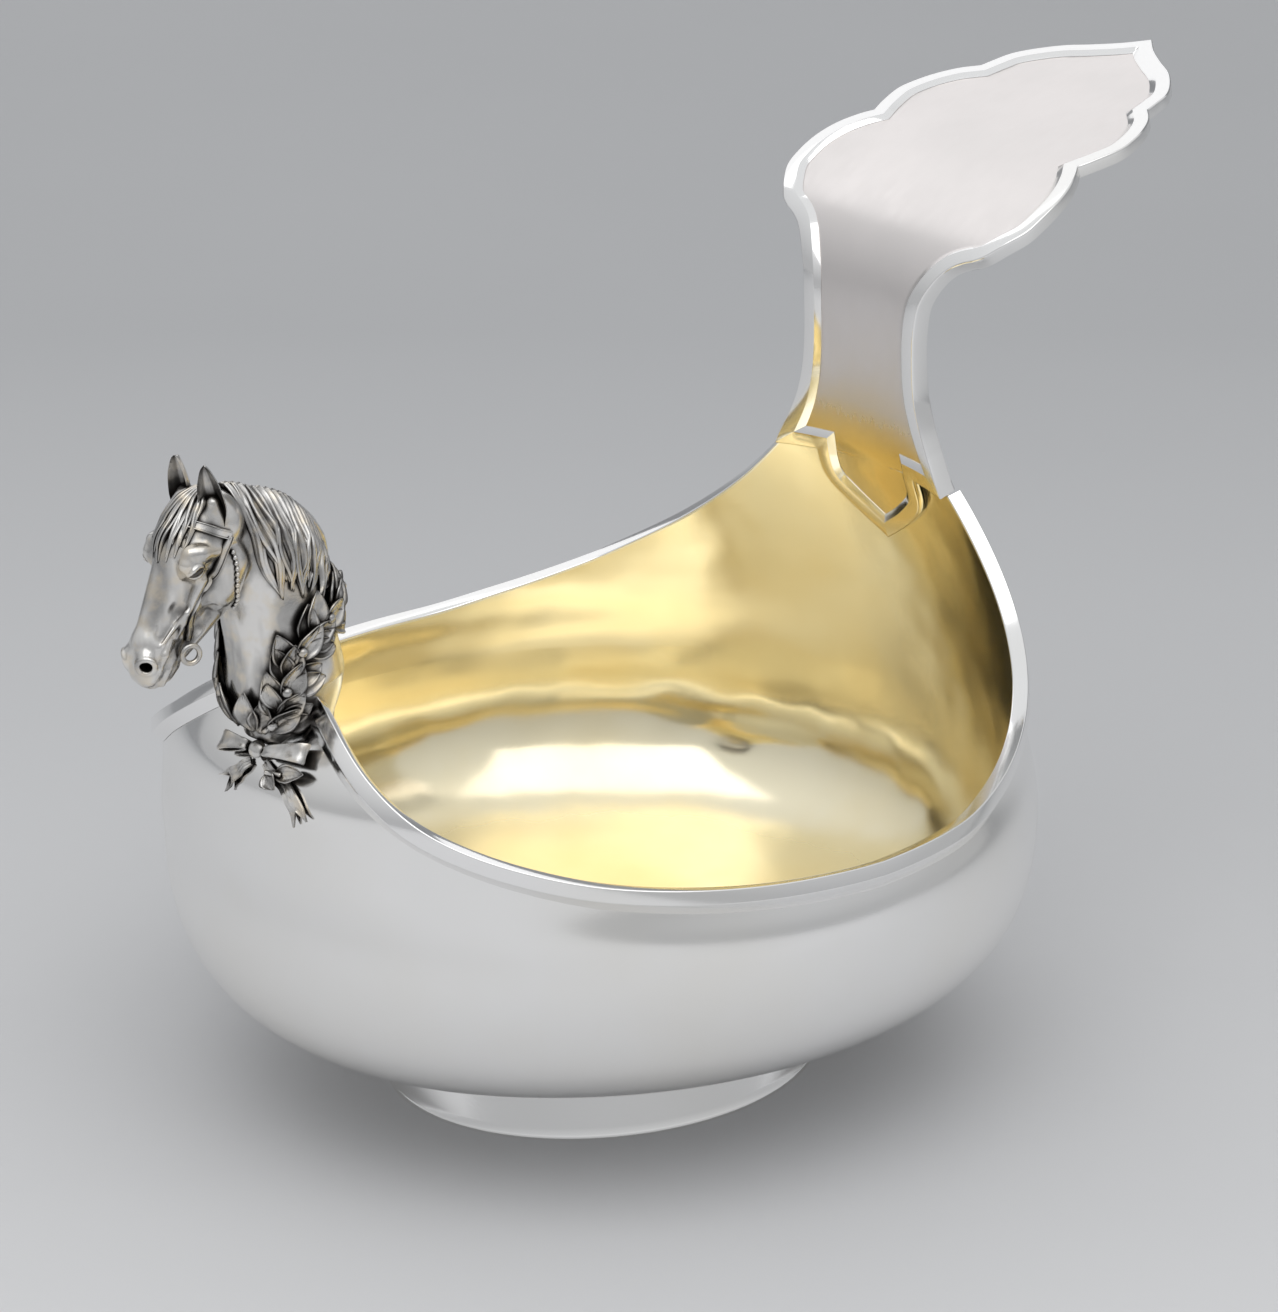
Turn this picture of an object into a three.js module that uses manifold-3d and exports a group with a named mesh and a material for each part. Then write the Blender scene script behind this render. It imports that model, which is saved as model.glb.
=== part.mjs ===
import * as THREE from 'three';
import * as BufferGeometryUtils from 'three/addons/utils/BufferGeometryUtils.js';
import Module from 'manifold-3d';

const wasm = await Module();
wasm.setup();

// Driving dimensions, in millimetres and degrees.
// The plan's centre is the middle of the foot: -X is the prow, +X the handle, +Y the left side.
// Azimuths are measured round the foot's centre from the handle.
const CLEARANCE = 0.3;

const FOOT_HEIGHT = 19.2;
const FOOT_BOTTOM_LENGTH = 54.9;
const FOOT_BOTTOM_WIDTH = 47;
const FOOT_TOP_LENGTH = 50.1;
const FOOT_TOP_WIDTH = 40.6;
const FOOT_WALL = 1.8;

const BOWL_WALL = 1.2;
const BOWL_SOFTENING = 2.6;
const BOWL_FLOOR_LENGTH = 56;
const BOWL_FLOOR_WIDTH = 36;
const BELLY_HEIGHT = 64;
const BELLY_LENGTH = 104.3;
const BELLY_WIDTH = 99.4;
const RIM_LOW_HEIGHT = 78.6;
const PROW_HEIGHT = 119;
const HANDLE_ROOT_HEIGHT = 127.5;
const BACK_LEAN = 15.1;
const PROW_LEAN_START = 96;
const PROW_LEAN = 16;

const BAND_THICKNESS = 2.6;
const BAND_FACE = 3.4;
const BAND_BEVEL = 2.3;
const BAND_LIP = 0.8;
const BAND_END_GAP = 0.2;

const HANDLE_REACH = 158.5;
const HANDLE_ROOT_WIDTH = 28.4;
const HANDLE_HALF_WIDTH = 40.6;
const NECK_HALF_WIDTH = 18.4;
const TONGUE_THICKNESS = 0.8;
const PANEL_RECESS = 1.1;
const NECK_THICKNESS = 5.5;
const TIP_THICKNESS = 3;
const FRAME_FLAT = 3.6;
const FRAME_BEVEL = 1.9;
const DROP_DEPTH = 22;
const DROP_WIDTH = 16.4;

// The horse's own measures are those of a head of MODELLED_HEAD; HEAD_LENGTH scales them all.
const HEAD_LENGTH = 46;
const MODELLED_HEAD = 46;
const HEAD_TILT = 57.3;
const POLL = [-18.8, 48];
const SADDLE_DEPTH = 12;
const PROW_NOTCH = [13, 3, 15];
const EAR_WIDTH = 5.8;
const EAR_THICKNESS = 0.9;
const HAIR_RELIEF = 1.5;
const HAIR_WAVE = 0.9;
const MANE_LOCKS = 9;
const STRAP_WIDTH = 2;
const STRAP_THICKNESS = 0.8;
const BIT_RING = 2;
const BIT_WIRE = 0.6;

const LEAF_LENGTH = 10;
const LEAF_WIDTH = 5.4;
const LEAF_THICKNESS = 0.9;
const LEAF_FOLD = 0.5;
const LEAF_TURN = 0.85;
const LEAF_LEAN = 0.2;
const GARLAND_ROWS = 5;
const BERRY = 1.3;
const BERRY_RISE = 1.6;
const STEM = 0.8;

// The bow sits a little to the right of the middle. Its knot's radii are across, up and out of the bowl.
const KNOT_DEPTH = 14.6;
const KNOT_OFFSET = 2.4;
const KNOT = [1.9, 2.1, 1.6];
const LEFT_LOOP = { reach: 7.6, tilt: -0.14 };
const RIGHT_LOOP = { reach: 11.4, tilt: 0.16 };
const LOOP_RISE = 1.7;
const RIBBON_WIDTH = 3.8;
const RIBBON_THICKNESS = 0.7;
const SPRAY_LEAF = 7.6;
const SPRAY_LIFT = 1.7;

// Fineness: the bowl's rows and columns, the cells that the castings are meshed in, and the steps of strips.
const RIM_STEPS = 28;
const BACK_COLUMNS = 3;
const OUTER_ROWS = 10;
const ROW_SPREAD = 1.12;
const FOOT_STEPS = 64;
const PLATE_COLUMNS = 6;
const CAST_CELL = 1.8;
const HAIR_CELL = 2;
const CAST_TOLERANCE = 0.2;
const SEAT_ALLOWANCE = 0.12;
const FLAT_TOLERANCE = 0.01;
const STRAP_STEPS = 12;
const LEAF_ROWS = 3;

const SILVER = { color: 0xd9d9d6, roughness: 0.22, metalness: 1 };
const SATIN = { color: 0xcfc8c6, roughness: 0.38, metalness: 1 };
const GILT_SILVER = { color: 0xdad7cf, roughness: 0.2, metalness: 1 };
const CAST = { color: 0xa8a29b, roughness: 0.36, metalness: 1 };

const kovsh = new THREE.Group();
kovsh.name = 'kovsh';

// A smooth curve through [x, y] pairs that never overshoots them.
function smoothThrough(pairs) {
  const slopes = pairs.slice(1).map(([x, y], i) => (y - pairs[i][1]) / (x - pairs[i][0]));
  const tangents = pairs.map((pair, i) => {
    if (i === 0 || i === pairs.length - 1) return slopes[Math.min(i, slopes.length - 1)];
    const [before, after] = [slopes[i - 1], slopes[i]];
    return before * after <= 0 ? 0 : (2 * before * after) / (before + after);
  });
  return (x) => {
    const inside = THREE.MathUtils.clamp(x, pairs[0][0], pairs[pairs.length - 1][0]);
    const next = Math.max(1, pairs.findIndex(([limit]) => limit >= inside));
    const [x0, y0] = pairs[next - 1];
    const [x1, y1] = pairs[next];
    const width = x1 - x0;
    const t = (inside - x0) / width;
    const rise = t * t * (3 - 2 * t);
    return y0 + (y1 - y0) * rise
      + width * t * (1 - t) * ((1 - t) * tangents[next - 1] - t * tangents[next]);
  };
}

function geometryFrom(points, triangles) {
  const geometry = new THREE.BufferGeometry();
  geometry.setAttribute('position', new THREE.Float32BufferAttribute(points.flatMap((p) => p.toArray()), 3));
  geometry.setIndex(triangles.flat());
  return geometry;
}

function solidFrom(geometry) {
  const bare = geometry.clone();
  bare.deleteAttribute('normal');
  bare.deleteAttribute('uv');
  const welded = BufferGeometryUtils.mergeVertices(bare, 1e-5);
  return new wasm.Manifold(new wasm.Mesh({
    numProp: 3,
    vertProperties: Float32Array.from(welded.attributes.position.array),
    triVerts: Uint32Array.from(welded.index.array),
  }));
}

function geometryOf(solid) {
  const mesh = solid.getMesh();
  const geometry = new THREE.BufferGeometry();
  geometry.setAttribute('position', new THREE.BufferAttribute(mesh.vertProperties, 3));
  geometry.setIndex(new THREE.BufferAttribute(mesh.triVerts, 1));
  return geometry;
}

// The one body that a cut leaves, without the slivers beside it.
function tidied(solid) {
  const bodies = solid.simplify(CAST_TOLERANCE / 3).decompose();
  return bodies.reduce((largest, body) => (body.volume() > largest.volume() ? body : largest));
}

function addPiece(name, geometry, finish) {
  const shown = geometry.index ? geometry.toNonIndexed() : geometry;
  shown.computeVertexNormals();
  const piece = new THREE.Mesh(shown, new THREE.MeshStandardMaterial(finish));
  piece.name = name;
  kovsh.add(piece);
  return piece;
}

// A closed tube through rings of points, each ring running the same way round, with flat ends.
function tubeThrough(rings, closed = false) {
  const sides = rings[0].length;
  const triangles = [];
  const links = closed ? rings.length : rings.length - 1;
  for (let i = 0; i < links; i += 1) {
    for (let j = 0; j < sides; j += 1) {
      const a = i * sides + j;
      const b = i * sides + (j + 1) % sides;
      const c = ((i + 1) % rings.length) * sides + (j + 1) % sides;
      const d = ((i + 1) % rings.length) * sides + j;
      triangles.push([a, b, c], [a, c, d]);
    }
  }
  if (!closed) {
    const last = (rings.length - 1) * sides;
    for (let j = 1; j < sides - 1; j += 1) {
      triangles.push([0, j + 1, j], [last, last + j, last + j + 1]);
    }
  }
  return geometryFrom(rings.flat(), triangles);
}

// A round bar along a path of points, with flat ends.
function cappedTube(path, radius, sides = 5) {
  const curve = new THREE.CatmullRomCurve3(path);
  const steps = (path.length - 1) * 2;
  const frames = curve.computeFrenetFrames(steps, false);
  const rings = Array.from({ length: steps + 1 }, (unused, i) => {
    const at = curve.getPointAt(i / steps);
    return Array.from({ length: sides }, (none, j) => {
      const angle = 2 * Math.PI * j / sides;
      return at.clone().addScaledVector(frames.normals[i], Math.cos(angle) * radius)
        .addScaledVector(frames.binormals[i], Math.sin(angle) * radius);
    });
  });
  return tubeThrough(rings);
}

// A closed slab over a grid: place(i, j, k) gives the lower face's points for k = 0, the upper's for k = 1.
function slabOver(rows, columns, place) {
  const points = [];
  for (let k = 0; k < 2; k += 1) {
    for (let i = 0; i <= rows; i += 1) {
      for (let j = 0; j <= columns; j += 1) points.push(place(i / rows, j / columns, k));
    }
  }
  const layer = (rows + 1) * (columns + 1);
  const at = (i, j, k) => k * layer + i * (columns + 1) + j;
  const triangles = [];
  const quad = (a, b, c, d) => triangles.push([a, b, c], [a, c, d]);
  for (let i = 0; i < rows; i += 1) {
    for (let j = 0; j < columns; j += 1) {
      quad(at(i, j, 1), at(i + 1, j, 1), at(i + 1, j + 1, 1), at(i, j + 1, 1));
      quad(at(i, j, 0), at(i, j + 1, 0), at(i + 1, j + 1, 0), at(i + 1, j, 0));
    }
    quad(at(i, 0, 0), at(i + 1, 0, 0), at(i + 1, 0, 1), at(i, 0, 1));
    quad(at(i, columns, 1), at(i + 1, columns, 1), at(i + 1, columns, 0), at(i, columns, 0));
  }
  for (let j = 0; j < columns; j += 1) {
    quad(at(0, j, 1), at(0, j + 1, 1), at(0, j + 1, 0), at(0, j, 0));
    quad(at(rows, j, 0), at(rows, j + 1, 0), at(rows, j + 1, 1), at(rows, j, 1));
  }
  return geometryFrom(points, triangles);
}

// Turns a solid's triangles outward if the grid that made it ran the other way.
function facingOut(geometry) {
  const solid = solidFrom(geometry);
  if (solid.volume() > 0) return solid;
  const index = geometry.index.array.slice();
  for (let i = 0; i < index.length; i += 3) [index[i + 1], index[i + 2]] = [index[i + 2], index[i + 1]];
  const turned = geometry.clone();
  turned.setIndex(new THREE.BufferAttribute(index, 1));
  return solidFrom(turned);
}

// The bowl's outer half-sizes at a height: towards the prow, towards the handle, and across.
const BOWL_FLOOR = FOOT_HEIGHT + CLEARANCE;
const LOWER_FULLNESS = 0.72;
const LOWER_ROUNDNESS = 0.76;
const BACK_CURVE = 1.6;
const PROW_CURVE = 1.35;
const widthAbove = smoothThrough([[0, 0], [6, -1.1], [12, -4], [18, -5.8], [28, -6.6], [64, -7]]);
const prowSwell = smoothThrough([[0, 0], [6, 1.4], [16, 2.9], [80, 2.9]]);

function lowerShare(height) {
  const up = THREE.MathUtils.clamp((BELLY_HEIGHT - height) / (BELLY_HEIGHT - BOWL_FLOOR), 0, 1);
  const cosine = up ** (1 / LOWER_ROUNDNESS);
  return Math.sqrt(Math.max(0, 1 - cosine * cosine)) ** LOWER_FULLNESS;
}

function plainSizes(height) {
  if (height < BELLY_HEIGHT) {
    const share = lowerShare(height);
    const length = BOWL_FLOOR_LENGTH + (BELLY_LENGTH - BOWL_FLOOR_LENGTH) * share;
    return [length, length, BOWL_FLOOR_WIDTH + (BELLY_WIDTH - BOWL_FLOOR_WIDTH) * share];
  }
  const backShare = (height - BELLY_HEIGHT) / (HANDLE_ROOT_HEIGHT - BELLY_HEIGHT);
  const prowShare = Math.max(0, (height - PROW_LEAN_START) / (PROW_HEIGHT - PROW_LEAN_START));
  return [
    BELLY_LENGTH + prowSwell(height - BELLY_HEIGHT) - PROW_LEAN * prowShare ** PROW_CURVE,
    BELLY_LENGTH - BACK_LEAN * backShare ** BACK_CURVE,
    BELLY_WIDTH + widthAbove(height - BELLY_HEIGHT),
  ];
}

// The half-sizes without a crease where the curves join: means over nearby heights, mirrored at the floor.
function meanSizes(height) {
  const floor = plainSizes(BOWL_FLOOR);
  const sums = [0, 0, 0];
  let total = 0;
  for (let spread = -3; spread <= 3; spread += 0.5) {
    const weight = Math.exp(-0.5 * spread * spread);
    const level = height + spread * BOWL_SOFTENING;
    const sizes = plainSizes(level < BOWL_FLOOR ? 2 * BOWL_FLOOR - level : level);
    sizes.forEach((size, i) => {
      sums[i] += weight * (level < BOWL_FLOOR ? 2 * floor[i] - size : size);
    });
    total += weight;
  }
  return sums.map((sum) => sum / total);
}

const LEVEL_STEP = 0.5;
const levels = Array.from({ length: Math.ceil(1.3 * HANDLE_ROOT_HEIGHT / LEVEL_STEP) },
  (unused, i) => meanSizes(BOWL_FLOOR + i * LEVEL_STEP));

function bowlSizes(height) {
  const level = THREE.MathUtils.clamp((height - BOWL_FLOOR) / LEVEL_STEP, 0, levels.length - 2);
  const below = Math.floor(level);
  const share = level - below;
  const [prow, back, side] = levels[below].map((size, i) => size + (levels[below + 1][i] - size) * share);
  return { prow, back, side };
}

// A point on the bowl, moved out of its outer face by lift, or into the wall where lift is negative.
function bowlPoint(azimuth, height, lift = 0) {
  const sizes = bowlSizes(height);
  const along = (Math.cos(azimuth) < 0 ? sizes.prow : sizes.back) + lift;
  const reach = 1 / Math.hypot(Math.cos(azimuth) / along, Math.sin(azimuth) / (sizes.side + lift));
  return new THREE.Vector3(reach * Math.cos(azimuth), reach * Math.sin(azimuth), height);
}

function bowlNormal(azimuth, height) {
  const step = 0.01;
  const around = bowlPoint(azimuth + step, height).sub(bowlPoint(azimuth - step, height));
  const up = bowlPoint(azimuth, height + step * 20).sub(bowlPoint(azimuth, height - step * 20));
  return around.cross(up).normalize();
}

// The nearest point of the bowl's outer face at the same height and azimuth, lifted square to it.
function onBowl(point, lift) {
  const azimuth = Math.atan2(point.y, point.x);
  return bowlPoint(azimuth, point.z).addScaledVector(bowlNormal(azimuth, point.z), lift);
}

// The rim's height by azimuth, as shares of the rise to the prow and to the handle's root.
const prowRise = smoothThrough([[93, 0], [110, 0.035], [130, 0.127], [143, 0.257], [153.4, 0.426],
  [161.3, 0.629], [169.4, 0.864], [174, 0.955], [180, 1], [186, 0.955]]);
const LOWEST_AZIMUTH = 93;

function rootAzimuth() {
  const sizes = bowlSizes(HANDLE_ROOT_HEIGHT);
  const inner = sizes.side - BOWL_WALL;
  const along = (sizes.back - BOWL_WALL) * Math.sqrt(1 - (HANDLE_ROOT_WIDTH / inner) ** 2);
  return THREE.MathUtils.radToDeg(Math.atan2(HANDLE_ROOT_WIDTH, along));
}

const ROOT_AZIMUTH = rootAzimuth();
const backRise = smoothThrough([[0, 1], [0.096, 0.75], [0.17, 0.589], [0.247, 0.448], [0.341, 0.317],
  [0.441, 0.205], [0.595, 0.093], [0.77, 0.018], [1, 0]]);

function rimHeight(azimuth) {
  const turn = Math.abs(THREE.MathUtils.radToDeg(Math.atan2(Math.sin(azimuth), Math.cos(azimuth))));
  if (turn >= LOWEST_AZIMUTH) return RIM_LOW_HEIGHT + (PROW_HEIGHT - RIM_LOW_HEIGHT) * prowRise(turn);
  const share = Math.max(0, (turn - ROOT_AZIMUTH) / (LOWEST_AZIMUTH - ROOT_AZIMUTH));
  return RIM_LOW_HEIGHT + (HANDLE_ROOT_HEIGHT - RIM_LOW_HEIGHT) * backRise(share);
}

// The rim's own directions: along it, out of the wall, and down the wall away from the opening.
function rimFrame(azimuth) {
  const step = 0.004;
  const height = rimHeight(azimuth);
  const along = bowlPoint(azimuth + step, rimHeight(azimuth + step))
    .sub(bowlPoint(azimuth - step, rimHeight(azimuth - step))).normalize();
  const out = bowlNormal(azimuth, height);
  out.addScaledVector(along, -out.dot(along)).normalize();
  const down = along.clone().cross(out).normalize();
  return { at: bowlPoint(azimuth, height), along, out, down };
}

// A point beside the rim: drop is the distance down the wall, lift the distance out of its outer face.
function besideRim(azimuth, drop, lift) {
  const { at, down, out } = rimFrame(azimuth);
  const below = at.clone().addScaledVector(down, Math.max(drop, 0));
  const seat = drop > 0 ? onBowl(below, 0) : below;
  const square = drop > 0 ? bowlNormal(Math.atan2(seat.y, seat.x), seat.z) : out;
  return seat.addScaledVector(square, lift).addScaledVector(down, Math.min(drop, 0));
}

function azimuthSteps(from, to, count) {
  const step = (to - from) / count;
  return Array.from({ length: count + 1 }, (unused, i) => THREE.MathUtils.degToRad(from + step * i));
}

// The wall ends below the band's lip, by more where the rim climbs steeply.
function wallTopHeight(azimuth) {
  const turn = Math.abs(THREE.MathUtils.radToDeg(Math.atan2(Math.sin(azimuth), Math.cos(azimuth))));
  const { along } = rimFrame(azimuth);
  const slant = turn < ROOT_AZIMUTH + 0.01 ? 1 : Math.hypot(along.x, along.y);
  return rimHeight(azimuth) - (BAND_LIP + 2.5 * CLEARANCE) / Math.max(slant, 0.35);
}

// The bowl: every meridian runs from the floor's middle, up the outside, over the edge and down the inside.
function makeBowl(grow = 0) {
  const half = [
    ...azimuthSteps(0, ROOT_AZIMUTH, BACK_COLUMNS).slice(0, -1),
    ...azimuthSteps(ROOT_AZIMUTH, 180, RIM_STEPS),
  ];
  const azimuths = [...half, ...half.slice(1, -1).reverse().map((angle) => -angle)];
  const floor = BOWL_FLOOR + BOWL_WALL + grow;
  const points = [new THREE.Vector3(0, 0, BOWL_FLOOR - grow), new THREE.Vector3(0, 0, floor)];
  azimuths.forEach((azimuth) => {
    const top = wallTopHeight(azimuth) + grow;
    for (let row = 0; row <= OUTER_ROWS; row += 1) {
      const share = (row / OUTER_ROWS) ** ROW_SPREAD;
      const height = BOWL_FLOOR + (top - BOWL_FLOOR) * share;
      points.push(bowlPoint(azimuth, height, grow).setZ(row ? height : height - grow));
    }
    for (let row = OUTER_ROWS; row >= 0; row -= 1) {
      const share = (row / OUTER_ROWS) ** ROW_SPREAD;
      const height = BOWL_FLOOR + (top - BOWL_FLOOR) * share;
      points.push(bowlPoint(azimuth, height, -BOWL_WALL - grow)
        .setZ(floor + (top - floor) * (height - BOWL_FLOOR) / (top - BOWL_FLOOR)));
    }
  });
  const rows = 2 * OUTER_ROWS + 2;
  const triangles = [];
  azimuths.forEach((unused, i) => {
    const here = 2 + i * rows;
    const next = 2 + ((i + 1) % azimuths.length) * rows;
    triangles.push([0, next, here], [1, here + rows - 1, next + rows - 1]);
    for (let row = 0; row < rows - 1; row += 1) {
      triangles.push([here + row, next + row, next + row + 1], [here + row, next + row + 1, here + row + 1]);
    }
  });
  return facingOut(geometryFrom(points, triangles));
}

// The foot: a tapered oval strip, open inside, standing on its lower edge.
function makeFoot() {
  const rings = azimuthSteps(0, 360, FOOT_STEPS).slice(0, -1).map((azimuth) => {
    const oval = (length, width, height) => new THREE.Vector3(
      length * Math.cos(azimuth), width * Math.sin(azimuth), height);
    return [
      oval(FOOT_BOTTOM_LENGTH, FOOT_BOTTOM_WIDTH, 0),
      oval(FOOT_TOP_LENGTH, FOOT_TOP_WIDTH, FOOT_HEIGHT),
      oval(FOOT_TOP_LENGTH - FOOT_WALL, FOOT_TOP_WIDTH - FOOT_WALL, FOOT_HEIGHT),
      oval(FOOT_BOTTOM_LENGTH - FOOT_WALL, FOOT_BOTTOM_WIDTH - FOOT_WALL, 0),
    ];
  });
  return facingOut(tubeThrough(rings, true));
}

// Half of the rim's moulding: it laps over the wall's edge, stands out from the wall and bevels back to it.
function makeBand(side, grow = 0) {
  const gap = 1.5 * CLEARANCE - grow;
  const rings = azimuthSteps(ROOT_AZIMUTH + BAND_END_GAP, 180 - BAND_END_GAP, RIM_STEPS).map((azimuth) => {
    const at = azimuth * side;
    return [
      besideRim(at, -grow, -BOWL_WALL - grow),
      besideRim(at, -grow, BAND_THICKNESS + grow),
      besideRim(at, BAND_FACE, BAND_THICKNESS + grow),
      besideRim(at, BAND_FACE + BAND_BEVEL + grow, gap),
      besideRim(at, BAND_LIP, gap),
      besideRim(at, BAND_LIP, -BOWL_WALL - grow),
    ];
  });
  [0, rings.length - 1].forEach((end) => {
    const onward = rings[end][0].clone().sub(rings[end ? end - 1 : 1][0]).normalize();
    rings[end].forEach((point) => point.addScaledVector(onward, 2 * grow));
  });
  return facingOut(tubeThrough(rings)).subtract(makeBowl(CLEARANCE / 2));
}

// The handle's face line: the top of its raised border over the middle, from inside the bowl to the tip.
const backInside = (height) => bowlSizes(height).back - BOWL_WALL;
const SEAT_DEPTH = CLEARANCE + TONGUE_THICKNESS + PANEL_RECESS;
const SWEEP = [[-0.0076, 0.041], [-0.0151, 0.0852], [-0.0215, 0.129], [-0.0259, 0.186], [-0.0265, 0.243],
  [-0.0215, 0.287], [-0.0095, 0.322], [0.0095, 0.354], [0.0366, 0.383], [0.077, 0.4095], [0.128, 0.4366],
  [0.1956, 0.463], [0.279, 0.4845], [0.405, 0.5117], [0.604, 0.552]];

function makeFaceLine() {
  const root = new THREE.Vector3(backInside(HANDLE_ROOT_HEIGHT) - SEAT_DEPTH, 0, HANDLE_ROOT_HEIGHT);
  const below = [1.3, 1, 0.7, 0.35].map((share) => {
    const height = HANDLE_ROOT_HEIGHT - share * DROP_DEPTH;
    return new THREE.Vector3(backInside(height) - SEAT_DEPTH, 0, height);
  });
  const above = SWEEP.map(([out, up]) => new THREE.Vector3(
    root.x + out * HANDLE_REACH, 0, root.z + up * HANDLE_REACH));
  const line = new THREE.CatmullRomCurve3([...below, root, ...above], false, 'centripetal');
  const samples = line.getPoints(1200);
  const lengths = [0];
  samples.slice(1).forEach((point, i) => lengths.push(lengths[i] + point.distanceTo(samples[i])));
  const start = lengths[samples.findIndex((point) => point.z >= HANDLE_ROOT_HEIGHT)];
  const full = lengths[lengths.length - 1] - start;
  return { samples, lengths, start, full };
}

const faceLine = makeFaceLine();

// The place and slope of the face line at a distance along it from the handle's root.
function alongFace(distance) {
  const { samples, lengths, start } = faceLine;
  const wanted = THREE.MathUtils.clamp(start + distance, 0.01, lengths[lengths.length - 1] - 0.01);
  const next = lengths.findIndex((length) => length >= wanted);
  const share = (wanted - lengths[next - 1]) / (lengths[next] - lengths[next - 1]);
  const at = samples[next - 1].clone().lerp(samples[next], share);
  const slope = samples[Math.min(next + 4, samples.length - 1)].clone()
    .sub(samples[Math.max(next - 5, 0)]).normalize();
  return { at, square: new THREE.Vector3(-slope.z, 0, slope.x) };
}

const BOW_FADE = 0.22;

// A point of the handle: distance along from the root, across from the middle, lift above the border's face.
function handlePoint(along, across, lift) {
  const { at, square } = alongFace(along);
  const fade = 1 - THREE.MathUtils.smoothstep(along, 0, BOW_FADE * HANDLE_REACH);
  const inner = bowlSizes(HANDLE_ROOT_HEIGHT).side - BOWL_WALL;
  const bow = fade * backInside(HANDLE_ROOT_HEIGHT) * (1 - Math.sqrt(1 - (across / inner) ** 2));
  const place = at.clone().addScaledVector(square, lift + bow);
  place.y = across;
  return place;
}

// Half of the outline, root to tip, as [along, across]: straight from the root's corner into the flaring
// neck, then two lobes and an ogee to the point.
const ROOT_FLARE = [[0.055, 0.52], [0.091, 0.26], [0.14, 0.06], [0.2, 0]];
const NECK_FLARE = [[0.252, 0.03], [0.284, 0.1], [0.322, 0.32], [0.347, 0.55], [0.361, 0.79], [0.369, 1]];
const LOBES = [
  [[0.369, 0.7635], [0.382, 0.835], [0.406, 0.906], [0.438, 0.98], [0.47, 1], [0.51, 0.995], [0.548, 0.96],
    [0.583, 0.894], [0.602, 0.842]],
  [[0.602, 0.842], [0.6315, 0.882], [0.674, 0.919], [0.7085, 0.901], [0.7426, 0.857], [0.775, 0.783],
    [0.799, 0.687]],
  [[0.799, 0.687], [0.824, 0.67], [0.8555, 0.64], [0.8864, 0.557], [0.918, 0.431], [0.9426, 0.278],
    [0.969, 0.13], [1, 0]],
];
const SECTION_STEPS = [13, 9, 7, 9];
const DROP_SHAPE = [[0, 1], [0.25, 1], [0.42, 0.92], [0.56, 0.76], [0.77, 0.44], [1, 0]];
const DROP_STEPS = 8;

function halfOutline() {
  const corner = LOBES[0][0][1] * HANDLE_HALF_WIDTH;
  const flare = (shares, width) => shares.map(
    ([along, share]) => [along, NECK_HALF_WIDTH + (width - NECK_HALF_WIDTH) * share]);
  const neck = [...flare(ROOT_FLARE, HANDLE_ROOT_WIDTH), ...flare(NECK_FLARE, corner)];
  const lobes = LOBES.map((lobe) => lobe.map(([along, share]) => [along, share * HANDLE_HALF_WIDTH]));
  const sections = [neck, ...lobes];
  const outline = sections.flatMap((section, i) => {
    const curve = new THREE.SplineCurve(section.map(([along, across]) => new THREE.Vector2(
      along * HANDLE_REACH, across)));
    return curve.getSpacedPoints(SECTION_STEPS[i]).slice(0, -1);
  });
  return [new THREE.Vector2(0, HANDLE_ROOT_WIDTH), ...outline, new THREE.Vector2(HANDLE_REACH, 0)];
}

function halfDrop() {
  const curve = new THREE.SplineCurve(DROP_SHAPE.map(([along, share]) => new THREE.Vector2(
    -along * DROP_DEPTH, share * DROP_WIDTH)));
  return curve.getSpacedPoints(DROP_STEPS);
}

const handleDepth = smoothThrough([[0, 0], [0.25, 0.05], [0.37, 0.5], [0.46, 0.75], [1, 1]]);
const POINT_WIDTH = 0.3;
const STEP_LENGTH = 0.3;

// The plate: one sheet from the drop's point inside the bowl to the handle's tip, thick above the root.
function makePlate(grow = 0) {
  const stations = [
    ...halfDrop().reverse().map((point) => ({ along: point.x - STEP_LENGTH, across: point.y, deep: false })),
    ...halfOutline().map((point) => ({ along: point.x, across: point.y, deep: true })),
  ];
  const geometry = slabOver(stations.length - 1, PLATE_COLUMNS, (i, j, k) => {
    const { along, across, deep } = stations[Math.round(i * (stations.length - 1))];
    const thickness = deep
      ? NECK_THICKNESS + (TIP_THICKNESS - NECK_THICKNESS) * handleDepth(along / HANDLE_REACH)
      : PANEL_RECESS + TONGUE_THICKNESS;
    const reach = Math.max(across, POINT_WIDTH) + grow;
    return handlePoint(along, (2 * j - 1) * reach, k ? grow - PANEL_RECESS : -thickness - grow);
  });
  return facingOut(geometry).simplify(FLAT_TOLERANCE);
}

// The border's route with the direction that points into the panel at each stop, mitred at the corners.
function mitred(path, before, after) {
  return path.map((point, i) => {
    const previous = path[i - 1] ?? before;
    const next = path[i + 1] ?? after;
    const incoming = point.clone().sub(previous).normalize();
    const outgoing = next.clone().sub(point).normalize();
    const inward = new THREE.Vector2(incoming.y + outgoing.y, -incoming.x - outgoing.x).normalize();
    const square = new THREE.Vector2(incoming.y, -incoming.x);
    return { point, inward: inward.divideScalar(Math.max(inward.dot(square), 0.35)) };
  });
}

function makeBorder(stops, side, turn, grow = 0) {
  const seat = CLEARANCE - PANEL_RECESS - grow;
  const rings = stops.map(({ point, inward }) => {
    const place = (width, lift) => {
      const spot = point.clone().addScaledVector(inward, width * turn);
      return handlePoint(spot.x, spot.y * side, lift);
    };
    return [
      place(-grow, seat), place(-grow, grow),
      place(FRAME_FLAT + grow, grow), place(FRAME_FLAT + FRAME_BEVEL + grow, seat),
    ];
  });
  return facingOut(tubeThrough(rings));
}

function shifted(stops, amount) {
  const first = stops[0].point.clone();
  const onward = stops[1].point.clone().sub(first).normalize();
  return [{ ...stops[0], point: first.addScaledVector(onward, amount) }, ...stops.slice(1)];
}

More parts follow.
